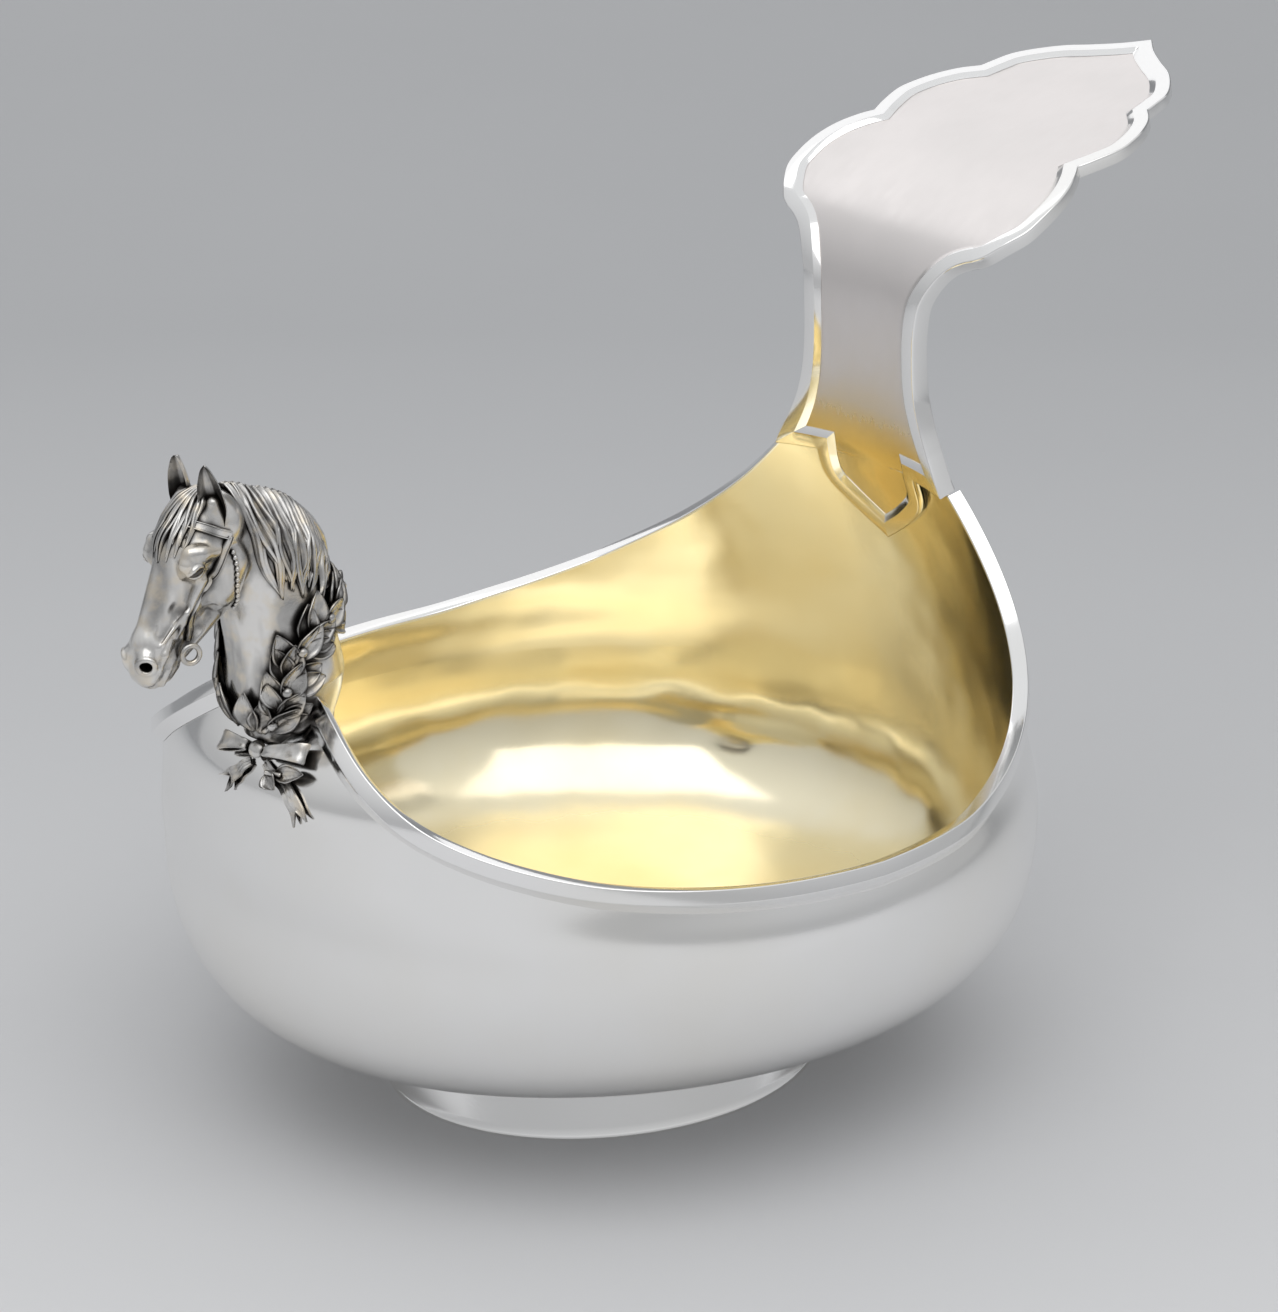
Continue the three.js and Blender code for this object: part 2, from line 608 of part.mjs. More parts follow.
// One long border strip, from the root's mitre round the lobes to the mitre at the tip.
function makeSideBorder(side) {
  const path = halfOutline();
  const beforeTip = path[path.length - 2];
  const beyondTip = new THREE.Vector2(beforeTip.x, -beforeTip.y);
  const shoulder = new THREE.Vector2(0, DROP_WIDTH);
  const stops = mitred(path, shoulder, beyondTip);
  const trimmed = shifted(stops.reverse(), CLEARANCE).reverse();
  return makeBorder(trimmed, side, 1).subtract(makeDropBorder(CLEARANCE));
}

// The lower border: from one root corner along its shoulder, down round the drop and up to the other.
function makeDropBorder(grow = 0) {
  const half = [new THREE.Vector2(0, HANDLE_ROOT_WIDTH), ...halfDrop()];
  const mirrored = half.slice(0, -1).reverse().map((point) => new THREE.Vector2(point.x, -point.y));
  const path = [...half, ...mirrored];
  const above = halfOutline()[1];
  const stops = mitred(path, above, new THREE.Vector2(above.x, -above.y));
  const reaching = shifted(shifted(stops, -2 * grow).reverse(), -2 * grow).reverse();
  return makeBorder(reaching, 1, -1, grow);
}

// The horse, set out from the prow's tip. Neck points are [forward or back, up, side], head points run
// along the head from the poll, then out towards the face, then to the side.
const PROW_TIP = new THREE.Vector3(-bowlSizes(PROW_HEIGHT).prow, 0, PROW_HEIGHT);
const HORSE_SCALE = HEAD_LENGTH / MODELLED_HEAD;
const TILT = THREE.MathUtils.degToRad(HEAD_TILT);

function fromProw(forward, up, side = 0) {
  return PROW_TIP.clone().add(new THREE.Vector3(forward, side, up).multiplyScalar(HORSE_SCALE));
}

function onHead(along, depth, side = 0) {
  const [pollForward, pollUp] = POLL;
  return fromProw(
    pollForward - along * Math.cos(TILT) - depth * Math.sin(TILT),
    pollUp - along * Math.sin(TILT) + depth * Math.cos(TILT),
    side,
  );
}

// A mass of the body: a capsule between two points with a radius at each end, flattened sideways by squash.
function mass(from, to, start, end, squash, blend) {
  return {
    from, to, squash, start: start * HORSE_SCALE, end: end * HORSE_SCALE, blend: blend * HORSE_SCALE,
  };
}

const HORSE_MASSES = [
  mass(fromProw(-12.5, 34), fromProw(-7.8, 28), 10.5, 11.8, 0.76, 2),
  mass(fromProw(-7.8, 28), fromProw(-5, 17.5), 11.8, 13, 0.78, 2),
  mass(fromProw(-5, 17.5), fromProw(-3.2, 1), 13, 13.4, 0.84, 2),
  mass(fromProw(-3.2, 1), fromProw(-2.5, -9), 13.4, 10.6, 0.9, 2),
  mass(onHead(8.5, 0.3), onHead(15.5, 1.8), 8, 7.9, 1.02, 2),
  mass(onHead(17, 4.8), onHead(39, 2.2), 5, 3.2, 0.8, 2),
  mass(onHead(20, -1.2), onHead(38, -0.8), 7.2, 4.6, 0.85, 2),
  mass(onHead(15, -5, 5.2), onHead(20, -6, 5), 5.4, 5.2, 0.7, 1.4),
  mass(onHead(21, -10, 3.4), onHead(36, -5.6, 1.6), 2.4, 2.2, 1, 1.6),
  mass(onHead(37.5, 0.6), onHead(42, -0.6), 5, 4.4, 0.95, 1.6),
  mass(onHead(17, 5.8, 6.2), onHead(19.6, 6.4, 7.2), 2.4, 1.4, 1, 1.2),
  mass(onHead(19.4, 5, 7.6), onHead(19.8, 5, 7.6), 1.7, 1.7, 1, 0.3),
  mass(onHead(20.5, 1.6, 7.2), onHead(30, 0.2, 5.2), 1.3, 0.9, 1, 1),
  mass(onHead(40.5, 3.4, 3.2), onHead(41.2, 3.6, 3.4), 2.3, 2.1, 1, 1),
  mass(onHead(43.2, -2.6), onHead(43.4, -2.4), 3.2, 3.1, 1.1, 1),
  mass(onHead(39.5, -5.2), onHead(40.2, -5), 2.9, 2.7, 1, 1),
];
const NOSTRIL = mass(onHead(41.8, 3.8, 5.4), onHead(42.4, 4, 5.6), 1.4, 1.4, 1, 0.5);

function massDistance(x, y, z, { from, to, start, end, squash }) {
  const axis = [to.x - from.x, (to.y - from.y) / squash, to.z - from.z];
  const offset = [x - from.x, (y - from.y) / squash, z - from.z];
  const length = axis[0] ** 2 + axis[1] ** 2 + axis[2] ** 2;
  const dot = offset[0] * axis[0] + offset[1] * axis[1] + offset[2] * axis[2];
  const share = length ? THREE.MathUtils.clamp(dot / length, 0, 1) : 0;
  return Math.hypot(...offset.map((value, i) => value - axis[i] * share)) - start - (end - start) * share;
}

function blended(a, b, blend) {
  const near = Math.max(blend - Math.abs(a - b), 0) / blend;
  return Math.min(a, b) - near * near * blend / 4;
}

// The signed distance to the horse's head and neck; both sides are alike.
function horseField({ x, y, z }) {
  const side = Math.abs(y);
  const body = HORSE_MASSES.reduce(
    (nearest, part) => blended(nearest, massDistance(x, side, z, part), part.blend), 1000);
  const hollowed = Math.max(body, -massDistance(x, side, z, NOSTRIL));
  return Math.max(hollowed, PROW_HEIGHT - SADDLE_DEPTH - z);
}

function unionField(masses) {
  return ({ x, y, z }) => masses.reduce(
    (nearest, part) => blended(nearest, massDistance(x, y, z, part), part.blend), 1000);
}

function slopeOf(field, point) {
  const step = 0.05;
  const slope = new THREE.Vector3();
  ['x', 'y', 'z'].forEach((axis) => {
    const ahead = point.clone();
    const behind = point.clone();
    ahead[axis] += step;
    behind[axis] -= step;
    slope[axis] = (field(ahead) - field(behind)) / (2 * step);
  });
  return slope;
}

// Moves a point square to the field's surface until it lies lift outside it.
function settle(field, point, lift) {
  const place = point.clone();
  for (let turn = 0; turn < 6; turn += 1) {
    const slope = slopeOf(field, place);
    place.addScaledVector(slope, (lift - field(place)) / Math.max(slope.lengthSq(), 0.2));
  }
  return place;
}

// Turns the sign of single samples where two sheets of the surface would meet along one edge of the mesh.
function parted(values, counts) {
  const strides = [counts[1] * counts[2], counts[2], 1];
  for (let pass = 0; pass < 12; pass += 1) {
    let turned = 0;
    for (let i = 0; i < counts[0] - 1; i += 1) {
      for (let j = 0; j < counts[1] - 1; j += 1) {
        for (let k = 0; k < counts[2] - 1; k += 1) {
          const here = i * strides[0] + j * strides[1] + k;
          [[0, 1], [0, 2], [1, 2]].forEach(([a, b]) => {
            const face = [here, here + strides[a], here + strides[a] + strides[b], here + strides[b]];
            const inside = face.map((corner) => values[corner] < 0);
            if (inside[0] !== inside[2] || inside[1] !== inside[3] || inside[0] === inside[1]) return;
            const weakest = face.reduce((least, corner) => (
              Math.abs(values[corner]) < Math.abs(values[least]) ? corner : least));
            values[weakest] = -values[weakest];
            turned += 1;
          });
        }
      }
    }
    if (!turned) return;
  }
}

// The field's surface as a closed mesh: one point for each cell that the surface crosses.
function meshField(field, low, high, cell) {
  const counts = ['x', 'y', 'z'].map((axis) => Math.ceil((high[axis] - low[axis]) / cell) + 1);
  const corner = (i, j, k) => new THREE.Vector3(i, j, k).multiplyScalar(cell).add(low);
  const indexOf = (i, j, k) => (i * counts[1] + j) * counts[2] + k;
  const values = new Float64Array(counts[0] * counts[1] * counts[2]);
  for (let i = 0; i < counts[0]; i += 1) {
    for (let j = 0; j < counts[1]; j += 1) {
      for (let k = 0; k < counts[2]; k += 1) values[indexOf(i, j, k)] = field(corner(i, j, k));
    }
  }
  parted(values, counts);
  const steps = [[1, 0, 0], [0, 1, 0], [0, 0, 1]];
  const cellCorners = [0, 1, 2, 3, 4, 5, 6, 7].map((n) => [n & 1, (n >> 1) & 1, n >> 2]);
  const points = [];
  const pointOf = new Map();
  for (let i = 0; i < counts[0] - 1; i += 1) {
    for (let j = 0; j < counts[1] - 1; j += 1) {
      for (let k = 0; k < counts[2] - 1; k += 1) {
        const sum = new THREE.Vector3();
        let crossings = 0;
        cellCorners.forEach(([a, b, c]) => steps.forEach(([da, db, dc]) => {
          if (a + da > 1 || b + db > 1 || c + dc > 1) return;
          const first = values[indexOf(i + a, j + b, k + c)];
          const second = values[indexOf(i + a + da, j + b + db, k + c + dc)];
          if (first < 0 === second < 0) return;
          const share = first / (first - second);
          sum.add(corner(i + a + da * share, j + b + db * share, k + c + dc * share));
          crossings += 1;
        }));
        if (crossings) {
          pointOf.set(indexOf(i, j, k), points.length);
          points.push(sum.divideScalar(crossings));
        }
      }
    }
  }
  const triangles = [];
  for (let i = 1; i < counts[0] - 1; i += 1) {
    for (let j = 1; j < counts[1] - 1; j += 1) {
      for (let k = 1; k < counts[2] - 1; k += 1) {
        steps.forEach(([di, dj, dk]) => {
          const first = values[indexOf(i, j, k)] < 0;
          if (first === values[indexOf(i + di, j + dj, k + dk)] < 0) return;
          const [a, b] = steps.filter(([x, y, z]) => x * di + y * dj + z * dk === 0);
          const around = [[0, 0], [1, 0], [1, 1], [0, 1]].map(([m, n]) => pointOf.get(indexOf(
            i - m * a[0] - n * b[0], j - m * a[1] - n * b[1], k - m * a[2] - n * b[2])));
          const ring = first === (dj === 1) ? around.reverse() : around;
          triangles.push([ring[0], ring[1], ring[2]], [ring[0], ring[2], ring[3]]);
        });
      }
    }
  }
  const seated = points.map((point) => settle(field, point, 0));
  return facingOut(geometryFrom(seated, triangles)).simplify(CAST_TOLERANCE);
}

function meshAround(field, reach, cell) {
  const low = fromProw(...reach[0]);
  const high = fromProw(...reach[1]);
  return meshField(field, low, high, cell * HORSE_SCALE);
}

const HORSE_REACH = [[-52, -16, -16], [16, 56, 16]];
const SEAT = CLEARANCE + SEAT_ALLOWANCE;
const seatOnHorse = (point, lift) => settle(horseField, point, lift);
const grownHorse = meshAround((point) => horseField(point) - SEAT, HORSE_REACH, CAST_CELL);
const prowNotch = new THREE.BoxGeometry(...PROW_NOTCH).translate(PROW_TIP.x, 0, PROW_HEIGHT);
const grownRim = makeBowl(CLEARANCE).add(makeBand(1, CLEARANCE)).add(makeBand(-1, CLEARANCE))
  .add(solidFrom(prowNotch));

function makeHorse() {
  return meshAround(horseField, HORSE_REACH, CAST_CELL).subtract(grownRim);
}

// An ear: a pointed cup, open towards the front and the side.
const earOutline = smoothThrough([[0, 0.7], [0.3, 1], [0.65, 0.8], [0.88, 0.4], [1, 0.08]]);

function makeEar(side) {
  const base = onHead(6.2, 3.8, 5.2 * side);
  const tip = onHead(-2.4, 11.7, 4.4 * side);
  const axis = tip.clone().sub(base);
  const open = new THREE.Vector3(-0.75, 0.65 * side, 0).normalize();
  const across = axis.clone().cross(open).normalize();
  return facingOut(slabOver(8, 4, (u, v, k) => {
    const width = (2 * v - 1) * EAR_WIDTH / 2 * earOutline(u) * HORSE_SCALE;
    const cup = (2 * v - 1) ** 2 * 1.3 * Math.sin(Math.PI * (0.2 + 0.7 * u)) - 0.8 * Math.sin(Math.PI * u);
    return base.clone().addScaledVector(axis, u).addScaledVector(across, width)
      .addScaledVector(open, (cup + (k - 0.5) * EAR_THICKNESS) * HORSE_SCALE);
  })).subtract(grownHorse);
}

// Hair is made of locks, each a chain of tapering masses.
function lock(stops, radii, blend = 0.6) {
  return stops.slice(1).map((stop, i) => mass(stops[i], stop, radii[i], radii[i + 1], 1, blend));
}

const CREST = [[-15.2, 45.4], [-11.5, 44.2], [-8, 43], [-3, 40], [2, 35], [5.8, 30], [8, 25.5]];
const CREST_RADII = [1.6, 2, 2.4, 3, 3.2, 2.8, 1.6];
const crestLine = new THREE.SplineCurve(CREST.map(([forward, up]) => new THREE.Vector2(forward, up)));

// A lock of the mane, from the crest down the neck: it waves, thins out and ends between from and to.
function maneLock(share, side, from, to) {
  const crest = crestLine.getPoint(share);
  const end = new THREE.Vector2(...from).lerp(new THREE.Vector2(...to), share);
  const sideways = end.clone().sub(crest).normalize().rotateAround(new THREE.Vector2(), Math.PI / 2);
  const radii = [1.7, 2.1, 1.6, 0.8];
  const stops = radii.map((radius, i) => {
    const down = i / (radii.length - 1);
    const wave = HAIR_WAVE * Math.sin(2 * Math.PI * (down + 0.37 * share * MANE_LOCKS));
    const spot = crest.clone().lerp(end, down).addScaledVector(sideways, i ? wave : 0);
    const place = fromProw(spot.x, spot.y, (2 + 8 * Math.sqrt(down)) * side);
    return seatOnHorse(place, (HAIR_RELIEF - radius) * HORSE_SCALE);
  });
  return lock(stops, radii, 0.4);
}

function shapeMane() {
  const ridge = lock(CREST.map(([forward, up]) => fromProw(forward, up)), CREST_RADII, 1);
  const locks = Array.from({ length: MANE_LOCKS }, (unused, i) => i / (MANE_LOCKS - 1)).flatMap((share) => [
    ...maneLock(share, -1, [-12, 26], [1, 23.5]),
    ...maneLock(share, 1, [-15, 33], [5, 21]),
  ]);
  return unionField([...ridge, ...locks]);
}

const maneField = shapeMane();

function makeMane(grow = 0) {
  return meshAround((point) => maneField(point) - grow, [[-24, 4, -15], [16, 52, 15]], HAIR_CELL);
}

const grownMane = makeMane(SEAT);

// The forelock: three locks that fall from between the ears over the browband.
function makeForelock() {
  const locks = [[0, 0], [-2.2, -1.6], [2, 1.4]].flatMap(([side, drop]) => lock([
    onHead(3, 7.6, side * 0.3),
    onHead(10.6, 11.3, side * 0.8),
    onHead(17.5 + drop * 0.4, 9.6 - Math.abs(drop) * 0.3, side * 1.3 - 0.6),
  ], [1.4, 1.7, 1], 0.6));
  return meshAround(unionField(locks), [[-44, 26, -8], [-14, 60, 8]], HAIR_CELL)
    .subtract(grownHorse).subtract(makeBrowband(CLEARANCE));
}

// A strap lying on the head: a flat section swept along stops that settle onto the surface.
function makeStrap(stops, width, thickness, grow = 0) {
  const curve = new THREE.CatmullRomCurve3(stops);
  const lift = SEAT + SEAT_ALLOWANCE - grow;
  const path = curve.getSpacedPoints(STRAP_STEPS).map((point) => seatOnHorse(point, lift));
  const rings = path.map((point, i) => {
    const along = path[Math.min(i + 1, STRAP_STEPS)].clone().sub(path[Math.max(i - 1, 0)]).normalize();
    const out = slopeOf(horseField, point).normalize();
    const across = along.clone().cross(out).normalize().multiplyScalar(width / 2 + grow);
    const rise = out.clone().multiplyScalar(thickness + 2 * grow);
    const inset = across.clone().multiplyScalar(0.7);
    return [
      point.clone().sub(across), point.clone().sub(inset).add(rise),
      point.clone().add(inset).add(rise), point.clone().add(across),
    ];
  });
  return facingOut(tubeThrough(rings)).subtract(grownHorse);
}

const makeCheekStrap = (side) => makeStrap(
  [[10.8, 0.2, 8.6], [18, -0.4, 9], [26, -2, 7.6], [33.6, -4.2, 6.4]].map(
    ([along, depth, out]) => onHead(along, depth, out * side)), STRAP_WIDTH, STRAP_THICKNESS);

const makeBrowband = (grow) => makeStrap(
  [[9.2, 0.4, -8.6], [9.8, 4.6, -7.4], [10.6, 8.4, -3.6], [10.8, 9.2, 0], [10.6, 8.4, 3.6], [9.8, 4.6, 7.4],
    [9.2, 0.4, 8.6]].map((spot) => onHead(...spot)), STRAP_WIDTH, STRAP_THICKNESS, grow);

const makeThroatLatch = (side) => makeStrap(
  [[11.8, -2, 8.6], [14.5, -4.2, 9.4], [19, -7.6, 9.2], [22.6, -10.6, 6]].map(
    ([along, depth, out]) => onHead(along, depth, out * side)), STRAP_WIDTH * 0.6, STRAP_THICKNESS);

// The bit's ring, hanging at the corner of the mouth.
function makeBitRing(side) {
  const centre = onHead(36, -4.8, 6.6 * side);
  const ring = new THREE.TorusGeometry(BIT_RING * HORSE_SCALE, BIT_WIRE * HORSE_SCALE, 6, 14);
  ring.rotateX(Math.PI / 2);
  ring.rotateZ(0.25 * side);
  ring.translate(centre.x, centre.y, centre.z);
  return facingOut(ring).subtract(grownHorse);
}

// A laurel leaf on a surface: pointed at both ends, folded along its midrib, its tip lifting clear.
const leafOutline = smoothThrough([[0, 0.12], [0.25, 0.8], [0.45, 1], [0.75, 0.66], [1, 0.05]]);

function makeLeaf({ root, axis, up, length, width, seat, lift, curl }) {
  const across = axis.clone().cross(up).normalize();
  return facingOut(slabOver(LEAF_ROWS, 2, (u, v, k) => {
    const half = (2 * v - 1) * width / 2 * leafOutline(u);
    const spot = root.clone().addScaledVector(axis, u * length).addScaledVector(across, half);
    const fold = Math.abs(2 * v - 1) * LEAF_FOLD * leafOutline(u);
    return seat(spot, SEAT + (lift + fold + curl * u * u + (k ? LEAF_THICKNESS : 0)) * HORSE_SCALE);
  }));
}

// The garland's route from the bow, up round the shoulder to the crest, as [forward, up, side].
const GARLAND = [[-14.4, -10, 4], [-13.9, -5.8, 9.6], [-12, 1.9, 11.6], [-8.6, 9.5, 11.4], [-3, 15, 10],
  [4, 18.5, 6.5], [9.6, 20.5, 1.8]];

// One half of the garland: a stem from the bow to the crest, with leaves to both sides and berries between.
function makeGarland(side) {
  const route = GARLAND.map(([forward, up, out]) => fromProw(forward, up, out * side));
  const curve = new THREE.CatmullRomCurve3(route);
  const pieces = [];
  for (let row = 0; row < GARLAND_ROWS; row += 1) {
    [-1, 0, 1].forEach((turn) => {
      const share = (row + 0.36 + 0.3 * turn) / GARLAND_ROWS;
      const root = seatOnHorse(curve.getPointAt(share), SEAT);
      const up = slopeOf(horseField, root).normalize();
      const onward = curve.getTangentAt(share);
      onward.addScaledVector(up, -onward.dot(up)).normalize();
      const axis = onward.clone().applyAxisAngle(up, (turn * LEAF_TURN + LEAF_LEAN) * side);
      pieces.push(makeLeaf({
        root, axis, up, seat: seatOnHorse, lift: turn ? 0.25 : 0.85, curl: turn ? 0.7 : 0.9,
        length: LEAF_LENGTH * HORSE_SCALE, width: LEAF_WIDTH * HORSE_SCALE,
      }));
    });
    const berry = new THREE.SphereGeometry(BERRY * HORSE_SCALE, 6, 5);
    const spot = seatOnHorse(curve.getPointAt((row + 0.6) / GARLAND_ROWS), SEAT + BERRY_RISE * HORSE_SCALE);
    berry.translate(spot.x, spot.y, spot.z);
    pieces.push(facingOut(berry));
  }
  const stem = [0, 0.2, 0.4, 0.6, 0.8, 1].map((share) => seatOnHorse(
    curve.getPointAt(share * 0.92 + 0.04), SEAT + 1.1 * STEM * HORSE_SCALE));
  pieces.push(facingOut(cappedTube(stem, STEM * HORSE_SCALE)));
  const block = 2 * HEAD_LENGTH;
  const otherSide = new THREE.BoxGeometry(block, block, block).translate(
    PROW_TIP.x, side * (CLEARANCE - block) / 2, PROW_HEIGHT);
  return pieces.reduce((sum, piece) => sum.add(piece)).simplify(CAST_TOLERANCE)
    .subtract(grownHorse).subtract(grownRim).subtract(grownMane).subtract(solidFrom(otherSide));
}

// The ribbon lies on the bowl under the prow. Places on it are given as [side, up] from the knot's middle.
function underProw(side, up, lift) {
  return onBowl(fromProw(-12, up - KNOT_DEPTH, side - KNOT_OFFSET), CLEARANCE + lift * HORSE_SCALE);
}

// The knot: a flattened ball, square to the bowl.
function makeKnot() {
  const [across, up, out] = KNOT.map((size) => size * HORSE_SCALE);
  const knot = new THREE.SphereGeometry(1, 12, 8);
  knot.scale(out, across, up);
  const slope = bowlNormal(Math.PI, PROW_HEIGHT - KNOT_DEPTH * HORSE_SCALE);
  knot.rotateY(-Math.atan2(slope.z, -slope.x));
  const middle = underProw(0, 0, KNOT[2]);
  knot.translate(middle.x, middle.y, middle.z);
  return facingOut(knot).subtract(grownRim).subtract(grownHorse);
}

// A loop of the bow: a flat ribbon that runs out along the bowl, folds over and comes back to the knot.
function makeLoop(side, { reach: length, tilt }) {
  const turns = 16;
  const inner = KNOT[0] + CLEARANCE / HORSE_SCALE;
  const rings = Array.from({ length: turns }, (unused, i) => {
    const angle = 2 * Math.PI * i / turns;
    const reach = inner + length / 2 * (1 - Math.cos(angle));
    const spread = (0.45 + 0.55 * (reach - inner) / length) * RIBBON_WIDTH / 2;
    const rise = RIBBON_THICKNESS + LOOP_RISE * (1 + Math.sin(angle) * (0.5 + 0.5 * Math.sin(angle / 2)));
    const thin = RIBBON_THICKNESS / 2;
    const place = (tall, out) => underProw(
      side * (reach + RIBBON_THICKNESS - out * thin * Math.cos(angle)),
      tilt * (reach - inner) + tall * spread, rise + out * thin * Math.sin(angle));
    return [place(-1, -1), place(1, -1), place(1, 1), place(-1, 1)];
  });
  return facingOut(tubeThrough(rings, true)).subtract(grownRim).subtract(grownHorse);
}

// A tail of the ribbon: it waves down from the knot and widens to a swallow-tailed end.
function makeTail(stops, side) {
  const curve = new THREE.SplineCurve(stops.map(([out, up]) => new THREE.Vector2(out * side, up)));
  return facingOut(slabOver(8, 2, (u, v, k) => {
    const at = curve.getPoint(u);
    const along = curve.getTangent(u);
    const edge = 2 * v - 1;
    const half = RIBBON_WIDTH / 2 * (0.45 + 0.6 * u) * edge;
    const notch = RIBBON_WIDTH * 0.8 * (Math.abs(edge) - 1) * u ** 6;
    const wave = 0.5 * Math.sin(u * 2.4 * Math.PI) ** 2 + 0.2 * u * edge * edge;
    return underProw(at.x - along.y * half + along.x * notch, at.y + along.x * half + along.y * notch,
      wave + (k ? RIBBON_THICKNESS : 0));
  })).subtract(grownRim).subtract(grownHorse);
}

const LEFT_TAIL = [[1.6, -2.4], [3.6, -4.4], [5.8, -6.6], [8, -8.8]];
const RIGHT_TAIL = [[2.6, -1.8], [6.2, -3.4], [10.4, -5], [13.8, -8], [16, -11.6]];

// The spray: a short stem and two leaves that lie on the longer tail.
const SPRAY = [[5.6, -3.4], [8, -3.2], [10, -3]];

function makeSpray(side) {
  const along = (lift) => SPRAY.map(([out, up]) => underProw(out * side, up, lift));
  const pieces = [facingOut(cappedTube(along(SPRAY_LIFT + STEM), STEM * HORSE_SCALE * 0.8))];
  const seats = along(0);
  [[1, -0.1, 1], [0, 0.75, 0.6]].forEach(([row, turn, size]) => {
    const root = seats[row].clone();
    const up = bowlNormal(Math.atan2(root.y, root.x), root.z);
    const axis = seats[row + 1].clone().sub(root).normalize().applyAxisAngle(up, turn * side);
    pieces.push(makeLeaf({
      root, axis, up, seat: onBowl, lift: SPRAY_LIFT, curl: 0.5,
      length: SPRAY_LEAF * size * HORSE_SCALE, width: LEAF_WIDTH * 0.7 * HORSE_SCALE,
    }));
  });
  return pieces.reduce((sum, piece) => sum.add(piece)).subtract(grownRim).subtract(grownHorse);
}

const dropFrame = makeDropBorder().subtract(makePlate(CLEARANCE / 2));
const sheetPieces = [
  ['bowl_shell', makeBowl(), SILVER],
  ['foot_ring', makeFoot(), SILVER],
  ['rim_band_left', makeBand(1), SILVER],
  ['rim_band_right', makeBand(-1), SILVER],
  ['handle_plate', tidied(makePlate().subtract(makeBowl(CLEARANCE / 2))), SATIN],
  ['handle_frame_left', makeSideBorder(1), SILVER],
  ['handle_frame_right', makeSideBorder(-1), SILVER],
  ['drop_frame', dropFrame, GILT_SILVER],
];
const castings = [
  ['horse', makeHorse()],
  ['ear_left', makeEar(1)],
  ['ear_right', makeEar(-1)],
  ['mane', makeMane().subtract(grownHorse)],
  ['forelock', makeForelock()],
  ['browband', makeBrowband()],
  ['cheek_strap_left', makeCheekStrap(1)],
  ['cheek_strap_right', makeCheekStrap(-1)],
  ['throat_latch_left', makeThroatLatch(1)],
  ['throat_latch_right', makeThroatLatch(-1)],
  ['bit_ring_left', makeBitRing(1)],
  ['bit_ring_right', makeBitRing(-1)],
  ['garland_left', makeGarland(1)],
  ['garland_right', makeGarland(-1)],
  ['ribbon_knot', makeKnot()],
  ['bow_loop_left', makeLoop(1, LEFT_LOOP)],
  ['bow_loop_right', makeLoop(-1, RIGHT_LOOP)],
  ['ribbon_tail_left', makeTail(LEFT_TAIL, 1)],
  ['ribbon_tail_right', makeTail(RIGHT_TAIL, -1)],
  ['leaf_spray', makeSpray(-1)],
];
sheetPieces.forEach(([name, solid, finish]) => addPiece(name, geometryOf(solid), finish));
castings.forEach(([name, solid]) => addPiece(name, geometryOf(tidied(solid)), CAST));

// The part's own frame has its origin below the middle of its length and width, on the plane it stands on.
const middle = new THREE.Box3().setFromObject(kovsh).getCenter(new THREE.Vector3());
kovsh.children.forEach((piece) => piece.geometry.translate(-middle.x, 0, 0));

export default kovsh;
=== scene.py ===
import math

import bpy
import numpy as np
import openvdb
from mathutils import Matrix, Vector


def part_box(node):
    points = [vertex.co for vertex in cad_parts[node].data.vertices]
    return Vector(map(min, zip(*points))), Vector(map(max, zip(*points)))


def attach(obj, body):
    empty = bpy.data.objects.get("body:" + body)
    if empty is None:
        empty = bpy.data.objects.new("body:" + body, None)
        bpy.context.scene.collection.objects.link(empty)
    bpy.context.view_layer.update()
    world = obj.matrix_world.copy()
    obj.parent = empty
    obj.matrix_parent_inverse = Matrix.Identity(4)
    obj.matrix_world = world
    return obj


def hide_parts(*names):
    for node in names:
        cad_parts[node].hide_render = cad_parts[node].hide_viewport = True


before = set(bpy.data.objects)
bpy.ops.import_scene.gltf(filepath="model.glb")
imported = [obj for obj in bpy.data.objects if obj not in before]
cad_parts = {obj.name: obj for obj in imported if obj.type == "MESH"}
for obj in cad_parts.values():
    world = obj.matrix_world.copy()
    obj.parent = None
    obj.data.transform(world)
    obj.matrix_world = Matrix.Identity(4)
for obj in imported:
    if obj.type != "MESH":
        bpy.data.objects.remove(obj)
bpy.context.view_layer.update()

# Sizes are in millimetres from the middle of the foot; SHIFT takes them to the part's own frame.
foot_low, foot_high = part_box("foot_ring")
SHIFT = 500 * (foot_low.x + foot_high.x)

FOOT_HEIGHT = 19.2
FOOT_BOTTOM = (54.9, 47.0)
FOOT_TOP = (50.1, 40.6)
FOOT_WALL = 1.8
BOWL_WALL = 1.2
BOWL_FLOOR = 19.5
FLOOR_LENGTH = 56.0
FLOOR_WIDTH = 36.0
BELLY_HEIGHT = 64.0
BELLY_LENGTH = 104.3
BELLY_WIDTH = 99.4
RIM_LOW = 78.6
PROW_HEIGHT = 119.0
ROOT_HEIGHT = 127.5
BACK_LEAN = 15.1
PROW_LEAN_START = 96.0
PROW_LEAN = 16.0
BAND_THICKNESS = 2.6
BAND_FACE = 3.4
BAND_BEVEL = 2.3
BAND_LIP = 0.8
HANDLE_REACH = 158.5
ROOT_WIDTH = 28.4
HANDLE_WIDTH = 40.6
NECK_WIDTH = 18.4
PANEL_RECESS = 1.1
TONGUE = 0.8
CLEARANCE = 0.3
SEAT = 0.42
NECK_THICKNESS = 5.5
TIP_THICKNESS = 3.0
FRAME_FLAT = 3.6
FRAME_BEVEL = 1.9
DROP_DEPTH = 22.0
DROP_WIDTH = 16.4


# Curves.
def eased(share):
    return share * share * (3 - 2 * share)


